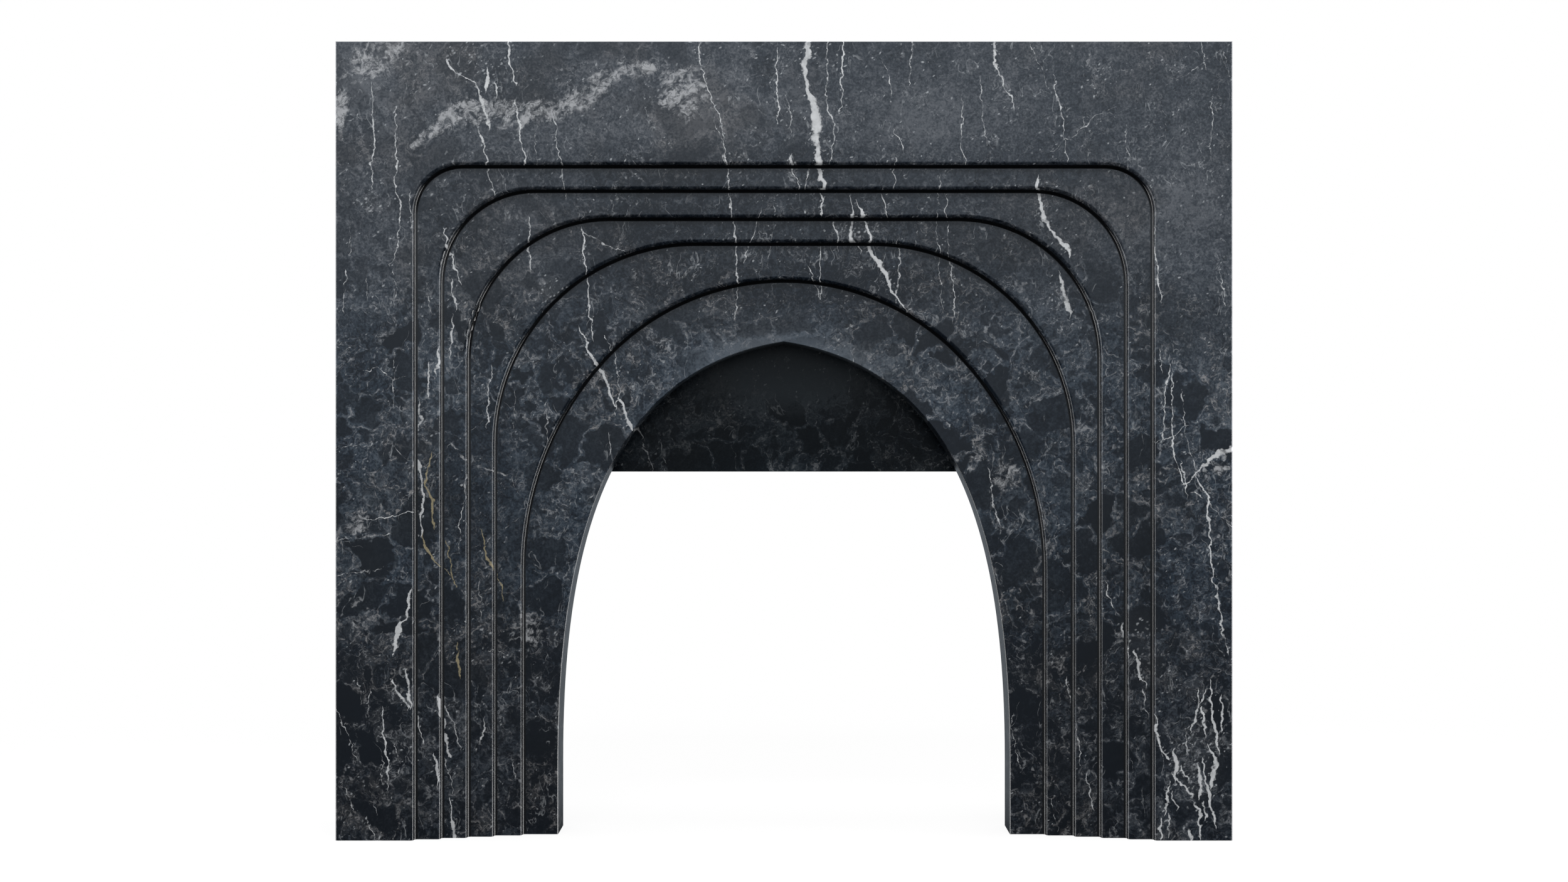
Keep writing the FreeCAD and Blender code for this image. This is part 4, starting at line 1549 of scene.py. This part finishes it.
@dataclass(frozen=True)
class Finishes:
    """The finishes of the whole surround."""

    face: dict[Stretch, bpy.types.Material]
    covers: dict[str, bpy.types.Material]
    panel: bpy.types.Material
    sawn: bpy.types.Material
    resin: bpy.types.Material
    steel: bpy.types.Material

    @classmethod
    def make(cls, face: "SteppedFace", arch: "ArchRing", panel: "RearPanel",
             casing: "Casing") -> "Finishes":
        """Makes every material once, with the stone's figure where its pieces lie.

        Args:
            face: The stepped face.
            arch: The inner arch.
            panel: The panel behind it.
            casing: The returns and the top slab.

        Returns:
            The finishes.
        """
        stretches = {stretch: face.pieces(stretch) + arch.pieces(stretch) for stretch in Stretch}
        fronts = {stretch: PolishedMarble(f"{stretch.value}_face_marble", Unpolished.BACK, pieces)
                  for stretch, pieces in stretches.items()}
        covers = {cover: PolishedMarble(f"{cover}_marble", Unpolished.INSIDE, (cover,))
                  for cover in casing.covers}
        # the panel's marble takes the darker colours of painted shade
        shaded = PolishedMarble("panel_marble_painted_shade", Unpolished.BACK, (panel.panel,), SlabPattern(SHADED_TINTS),
                                index=SHADED_INDEX)
        return cls(face={stretch: marble.material() for stretch, marble in fronts.items()},
                   covers={cover: marble.material() for cover, marble in covers.items()},
                   panel=shaded.material(),
                   sawn=SawnMarble("sawn_block_marble").material(),
                   resin=TintedResin("cove_resin").material(),
                   steel=BrushedSteel("fixing_steel").material())


@dataclass
class SteppedFace:
    """The five nested layers of the face, each with its jambs, its header and its cove."""

    layers: tuple[str, ...] = ("front", "second", "third", "fourth", "fifth")
    slabs: tuple[tuple[str, Stretch], ...] = (("left_jamb", Stretch.LEFT), ("right_jamb", Stretch.RIGHT),
                                              ("header", Stretch.HEAD))
    coves: tuple[str, ...] = ("first", "second", "third", "fourth", "fifth")

    def pieces(self, stretch: Stretch) -> tuple[str, ...]:
        """Names of the slabs in one stretch of the face."""
        slabs = [slab for slab, place in self.slabs if place is stretch]
        return tuple(f"{layer}_{slab}" for layer in self.layers for slab in slabs)

    def dress(self, finishes: Finishes) -> None:
        """Puts marble on the slabs and resin in the coves.

        Args:
            finishes: The finishes of the surround.
        """
        for stretch in Stretch:
            for slab in self.pieces(stretch):
                dress(slab, finishes.face[stretch])
        for cove in self.coves:
            dress(f"{cove}_cove", finishes.resin)


@dataclass
class ArchRing:
    """The solid inner arch and the pins across its joints."""

    stones: tuple[tuple[str, Stretch], ...] = (
        ("arch_left_jamb", Stretch.LEFT), ("arch_right_jamb", Stretch.RIGHT),
        ("arch_left_head", Stretch.HEAD), ("arch_right_head", Stretch.HEAD))
    pins: str = "arch_dowels"

    def pieces(self, stretch: Stretch) -> tuple[str, ...]:
        """Names of the stones in one stretch of the face."""
        return tuple(stone for stone, place in self.stones if place is stretch)

    def dress(self, finishes: Finishes) -> None:
        """Puts marble on the stones and steel on the pins.

        Args:
            finishes: The finishes of the surround.
        """
        for stone, stretch in self.stones:
            dress(stone, finishes.face[stretch])
        dress(self.pins, finishes.steel)


@dataclass
class RearPanel:
    """The panel behind the arch, with the cleats and spacers that carry it."""

    panel: str = "back_panel"
    carriers: tuple[str, ...] = ("panel_cleat", "panel_spacer")

    def dress(self, finishes: Finishes) -> None:
        """Puts polished marble on the panel and sawn marble on what carries it.

        Args:
            finishes: The finishes of the surround.
        """
        dress(self.panel, finishes.panel)
        for side in SIDES:
            for carrier in self.carriers:
                dress(f"{side}_{carrier}", finishes.sawn)


@dataclass
class Casing:
    """The returns and the top slab, with the blocks that bond them to the face."""

    covers: tuple[str, ...] = ("left_return", "right_return", "top_slab")
    blocks: tuple[str, ...] = ("corner_block_lower", "corner_block_middle", "corner_block_upper",
                               "head_block")

    def dress(self, finishes: Finishes) -> None:
        """Puts polished marble on the covers and sawn marble on the blocks.

        Args:
            finishes: The finishes of the surround.
        """
        for cover in self.covers:
            dress(cover, finishes.covers[cover])
        for side in SIDES:
            for block in self.blocks:
                dress(f"{side}_{block}", finishes.sawn)


@dataclass
class WallFixings:
    """The steel wall brackets and their screws, in metres."""

    brackets: tuple[str, ...] = ("wall_bracket_lower", "wall_bracket_upper")
    screws: str = "bracket_screws"
    slot: str = "stainless_steel"
    plate: float = 0.004
    screw_spread: float = 0.034
    screw_inset: float = 0.015
    head_radius: float = 0.005
    head_height: float = 0.003
    bevel: float = 0.0012
    shank_radius: float = 0.0025
    shank_length: float = 0.014
    recess_span: float = 0.0052
    recess_width: float = 0.0011
    recess_depth: float = 0.0016
    sides: int = 32
    seed: int = 7

    def seats(self) -> list[Vector]:
        """Finds where each screw head seats, from the brackets.

        Returns:
            The seats, on the inner faces of the plates that lie against the returns.
        """
        places = []
        for side, way in zip(SIDES, (-1.0, 1.0)):
            for bracket in self.brackets:
                low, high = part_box(f"{side}_{bracket}")
                plate_face = max(abs(low[0]), abs(high[0])) - self.plate
                middle = 0.5 * (low[2] + high[2])
                for step in (-0.5, 0.5):
                    places.append(Vector((way * plate_face, low[1] + self.screw_inset,
                                          middle + step * self.screw_spread)))
        return places

    @staticmethod
    def raised(graph: Graph, solid: Shade, height: Term) -> Shade:
        """A solid moved up its own axis."""
        return graph.node("GeometryNodeTransform", None,
                          {"Geometry": solid, "Translation": graph.joined(0.0, 0.0, height)})

    def screw(self, graph: Graph, given: Shade) -> Shade:
        """Models one screw, seated at the origin with its head up.

        Args:
            graph: The tree that is being built.
            given: The tree's inputs.

        Returns:
            The solid screw, with a cross recess in its bevelled head.
        """
        radius, bevel = given.output("Head Radius"), given.output("Bevel")
        rim = given.output("Head Height") - bevel
        length, deep = given.output("Shank Length"), given.output("Recess Depth")
        span, width = given.output("Recess Span"), given.output("Recess Width")
        round_sides = given.output("Sides")
        collar = graph.node("GeometryNodeMeshCylinder", None,
                            {"Vertices": round_sides, "Radius": radius, "Depth": rim})
        crown = graph.node("GeometryNodeMeshCone", None,
                           {"Vertices": round_sides, "Radius Top": radius - bevel, "Radius Bottom": radius,
                            "Depth": bevel})
        shank = graph.node("GeometryNodeMeshCylinder", None,
                           {"Vertices": round_sides, "Radius": given.output("Shank Radius"),
                            "Depth": length + rim})
        body = graph.node("GeometryNodeMeshBoolean", {"operation": "UNION", "solver": "EXACT"},
                          {"Mesh 2": [self.raised(graph, collar, rim * 0.5), self.raised(graph, crown, rim),
                                      self.raised(graph, shank, (rim - length) * 0.5)]})
        arms = [graph.node("GeometryNodeMeshCube", None, {"Size": graph.joined(*sizes, deep * 2.0)})
                for sizes in ((span, width), (width, span))]
        return graph.node("GeometryNodeMeshBoolean", {"operation": "DIFFERENCE", "solver": "EXACT"},
                          {"Mesh 1": body,
                           "Mesh 2": [self.raised(graph, arm, given.output("Head Height")) for arm in arms]})

    def inputs(self, steel: bpy.types.Material) -> dict[str, tuple[str, Any]]:
        """The kind and the value of each named input of the screws' tree."""
        return {"Head Radius": ("Float", self.head_radius), "Head Height": ("Float", self.head_height),
                "Bevel": ("Float", self.bevel), "Shank Radius": ("Float", self.shank_radius),
                "Shank Length": ("Float", self.shank_length), "Recess Span": ("Float", self.recess_span),
                "Recess Width": ("Float", self.recess_width), "Recess Depth": ("Float", self.recess_depth),
                "Sides": ("Int", self.sides), "Seed": ("Int", self.seed), "Finish": ("Material", steel)}

    def screw_tree(self, inputs: dict[str, tuple[str, Any]]) -> bpy.types.NodeTree:
        """Builds the node tree that sets a screw on each seat, turned as a hand would leave it.

        Args:
            inputs: The kind and the value of each named input.

        Returns:
            The tree, with those inputs.
        """
        tree = bpy.data.node_groups.new(self.screws, "GeometryNodeTree")
        tree.interface.new_socket("Geometry", in_out="INPUT", socket_type="NodeSocketGeometry")
        for name, (kind, _) in inputs.items():
            tree.interface.new_socket(name, in_out="INPUT", socket_type=f"NodeSocket{kind}")
        tree.interface.new_socket("Geometry", in_out="OUTPUT", socket_type="NodeSocketGeometry")
        graph = Graph(tree)
        given = graph.node("NodeGroupInput")
        across, _, _ = graph.parts(graph.node("GeometryNodeInputPosition"))
        inward = graph.joined(graph.maths("SIGN", across) * -1.0, 0.0, 0.0)
        facing = graph.node("FunctionNodeAlignRotationToVector", {"axis": "Z"}, {"Vector": inward})
        turn = graph.node("FunctionNodeRandomValue", {"data_type": "FLOAT"},
                          {2: 0.0, 3: 0.5 * math.pi, "Seed": given.output("Seed")}, output=1)
        twist = graph.node("FunctionNodeEulerToRotation", None, {0: graph.joined(0.0, 0.0, turn)})
        facing = graph.node("FunctionNodeRotateRotation", {"rotation_space": "LOCAL"},
                            {"Rotation": facing, "Rotate By": twist})
        placed = graph.node("GeometryNodeInstanceOnPoints", None,
                            {"Points": given.output("Geometry"), "Instance": self.screw(graph, given),
                             "Rotation": facing})
        whole = graph.node("GeometryNodeRealizeInstances", None, {"Geometry": placed})
        whole = graph.node("GeometryNodeSetMaterial", None,
                           {"Geometry": whole, "Material": given.output("Finish")})
        graph.node("NodeGroupOutput", None, {"Geometry": whole})
        return tree

    def build_screws(self, steel: bpy.types.Material) -> bpy.types.Object:
        """Makes the screws as one plain mesh.

        Args:
            steel: Their finish.

        Returns:
            The piece.
        """
        seats = bpy.data.meshes.new("screw_seats")
        seats.from_pydata(self.seats(), [], [])
        carrier = bpy.data.objects.new("screw_seats", seats)
        bpy.context.scene.collection.objects.link(carrier)
        inputs = self.inputs(steel)
        tree = self.screw_tree(inputs)
        modifier = carrier.modifiers.new("screws", "NODES")
        modifier.node_group = tree
        for item in tree.interface.items_tree:
            if item.in_out == "INPUT" and item.name in inputs:
                modifier[item.identifier] = inputs[item.name][1]
        evaluated = carrier.evaluated_get(bpy.context.evaluated_depsgraph_get())
        mesh = bpy.data.meshes.new_from_object(evaluated)
        carrier.modifiers.remove(modifier)
        bpy.data.objects.remove(carrier)
        piece = bpy.data.objects.new("cross_recessed_screws", mesh)
        bpy.context.scene.collection.objects.link(piece)
        return piece

    def build(self, finishes: Finishes) -> None:
        """Dresses the brackets and puts in the screws.

        Args:
            finishes: The finishes of the surround.
        """
        for side in SIDES:
            for bracket in self.brackets:
                dress(f"{side}_{bracket}", finishes.steel)
        piece = self.build_screws(finishes.steel)
        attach(piece, BODY)
        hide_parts(self.screws)
        LOG.info("built %s with %d faces", piece.name, len(piece.data.polygons))


@dataclass
class Studio:
    """The floor, the light and the camera, in metres, watts and degrees."""

    eye: Place = (0.0, -3.7935, 0.6235)
    lens: float = 54.16
    sensor: float = 36.0
    floor_half: float = 4.0
    floor_tint: Colour = (0.85, 0.85, 0.85)
    floor_glow: float = 0.88
    floor_fade: Span = (1.1, 2.2)
    white: Colour = (1.0, 1.0, 1.0)
    key_place: Place = (0.0, -1.9, 3.2)
    key_aim: Place = (0.0, -0.11, 0.6)
    key_size: Span = (2.2, 0.5)
    key_power: float = 56.0
    side_place: Place = (2.1, -0.22, 0.45)
    side_size: Span = (0.7, 2.3)
    right_power: float = 62.0
    left_power: float = 42.0
    sky_light: float = 0.9
    ground_light: float = 0.12
    horizon: Span = (-0.15, 0.25)
    room_tones: tuple[Span, ...] = ((0.00, 0.0), (0.09, 0.0), (0.13, 0.16), (0.50, 0.25), (0.66, 0.55),
                                    (0.82, 0.95), (1.00, 1.0))
    room_tint: Colour = (0.9, 1.0, 1.1)
    room_lift: float = 0.2
    room_scale: float = 2.5

    def floor(self) -> None:
        """Lays a pale floor that keeps the shadow and is otherwise as white as the background."""
        half = self.floor_half
        mesh = bpy.data.meshes.new("studio_floor")
        mesh.from_pydata([(-half, -half, 0.0), (half, -half, 0.0), (half, half, 0.0), (-half, half, 0.0)], [],
                         [(0, 1, 2, 3)])
        floor = bpy.data.objects.new("studio_floor", mesh)
        bpy.context.scene.collection.objects.link(floor)
        made, graph = new_material("pale_floor")
        matte = graph.node("ShaderNodeBsdfDiffuse", None, {"Color": self.floor_tint})
        glow = graph.node("ShaderNodeEmission", None, {"Color": self.white, "Strength": 1.0})
        place = graph.node("ShaderNodeTexCoord").output("Object")
        fade = graph.rise(graph.length(place), *self.floor_fade)
        share = self.floor_glow + (1.0 - self.floor_glow) * fade
        surface = graph.node("ShaderNodeMixShader", None, {0: graph.seen() * share, 1: matte, 2: glow})
        graph.node("ShaderNodeOutputMaterial", None, {"Surface": surface})
        mesh.materials.append(made)
        floor.visible_glossy = False
        floor.visible_diffuse = False

    def softbox(self, name: str, place: Place, aim: Place, size: Span, power: float) -> None:
        """Hangs a softbox that the camera doesn't see.

        Args:
            name: Its name.
            place: Where it hangs.
            aim: The point that it faces.
            size: Its width and height.
            power: Its power.
        """
        lamp = bpy.data.lights.new(name, "AREA")
        lamp.shape = "RECTANGLE"
        lamp.size, lamp.size_y = size
        lamp.energy = power
        box = bpy.data.objects.new(name, lamp)
        box.location = place
        box.rotation_euler = (Vector(aim) - Vector(place)).to_track_quat("-Z", "Y").to_euler()
        box.visible_camera = False
        bpy.context.scene.collection.objects.link(box)

    def world(self) -> None:
        """Makes a white background, and in the gloss a room that is bright above and dark below."""
        world = bpy.data.worlds.new("white_studio")
        world.use_nodes = True
        bpy.context.scene.world = world
        graph = Graph(world.node_tree)
        seen = graph.seen()
        _, _, up = graph.parts(graph.node("ShaderNodeTexCoord").output("Generated"))
        stops = [(place, tuple(tone * part for part in self.room_tint)) for place, tone in self.room_tones]
        room = graph.node("ShaderNodeValToRGB", {"stops": stops},
                          {0: (up + self.room_lift) * self.room_scale})
        camera = graph.node("ShaderNodeLightPath").output("Is Camera Ray")
        backdrop = graph.mix(camera, room, self.white)
        ambient = graph.mix(graph.rise(up, *self.horizon), (self.ground_light,) * 3, (self.sky_light,) * 3)
        light = graph.node("ShaderNodeBackground", None, {"Color": ambient, "Strength": 1.0})
        shown = graph.node("ShaderNodeBackground", None, {"Color": backdrop, "Strength": 1.0})
        surface = graph.node("ShaderNodeMixShader", None, {0: seen, 1: light, 2: shown})
        graph.node("ShaderNodeOutputWorld", None, {"Surface": surface})

    def camera(self) -> None:
        """Sets the camera level, at the photograph's view."""
        eye = bpy.data.cameras.new("camera")
        eye.lens = self.lens
        eye.sensor_width = self.sensor
        eye.sensor_fit = "HORIZONTAL"
        holder = bpy.data.objects.new("camera", eye)
        holder.location = self.eye
        holder.rotation_euler = (0.5 * math.pi, 0.0, 0.0)
        bpy.context.scene.collection.objects.link(holder)
        bpy.context.scene.camera = holder

    def build(self) -> None:
        """Sets up the whole studio."""
        bpy.context.scene.view_settings.view_transform = "Standard"
        self.floor()
        self.softbox("key_softbox", self.key_place, self.key_aim, self.key_size, self.key_power)
        x, y, z = self.side_place
        self.softbox("right_softbox", (x, y, z), (0.0, y, z), self.side_size, self.right_power)
        self.softbox("left_softbox", (-x, y, z), (0.0, y, z), self.side_size, self.left_power)
        self.world()
        self.camera()
        LOG.info("set up the studio")


def main() -> None:
    """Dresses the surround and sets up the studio."""
    logging.basicConfig(level=logging.INFO, format="%(name)s: %(message)s")
    face, arch, panel, casing = SteppedFace(), ArchRing(), RearPanel(), Casing()
    finishes = Finishes.make(face, arch, panel, casing)
    for assembly in (face, arch, panel, casing):
        assembly.dress(finishes)
    WallFixings().build(finishes)
    Studio().build()


if __name__ == "__main__":
    main()
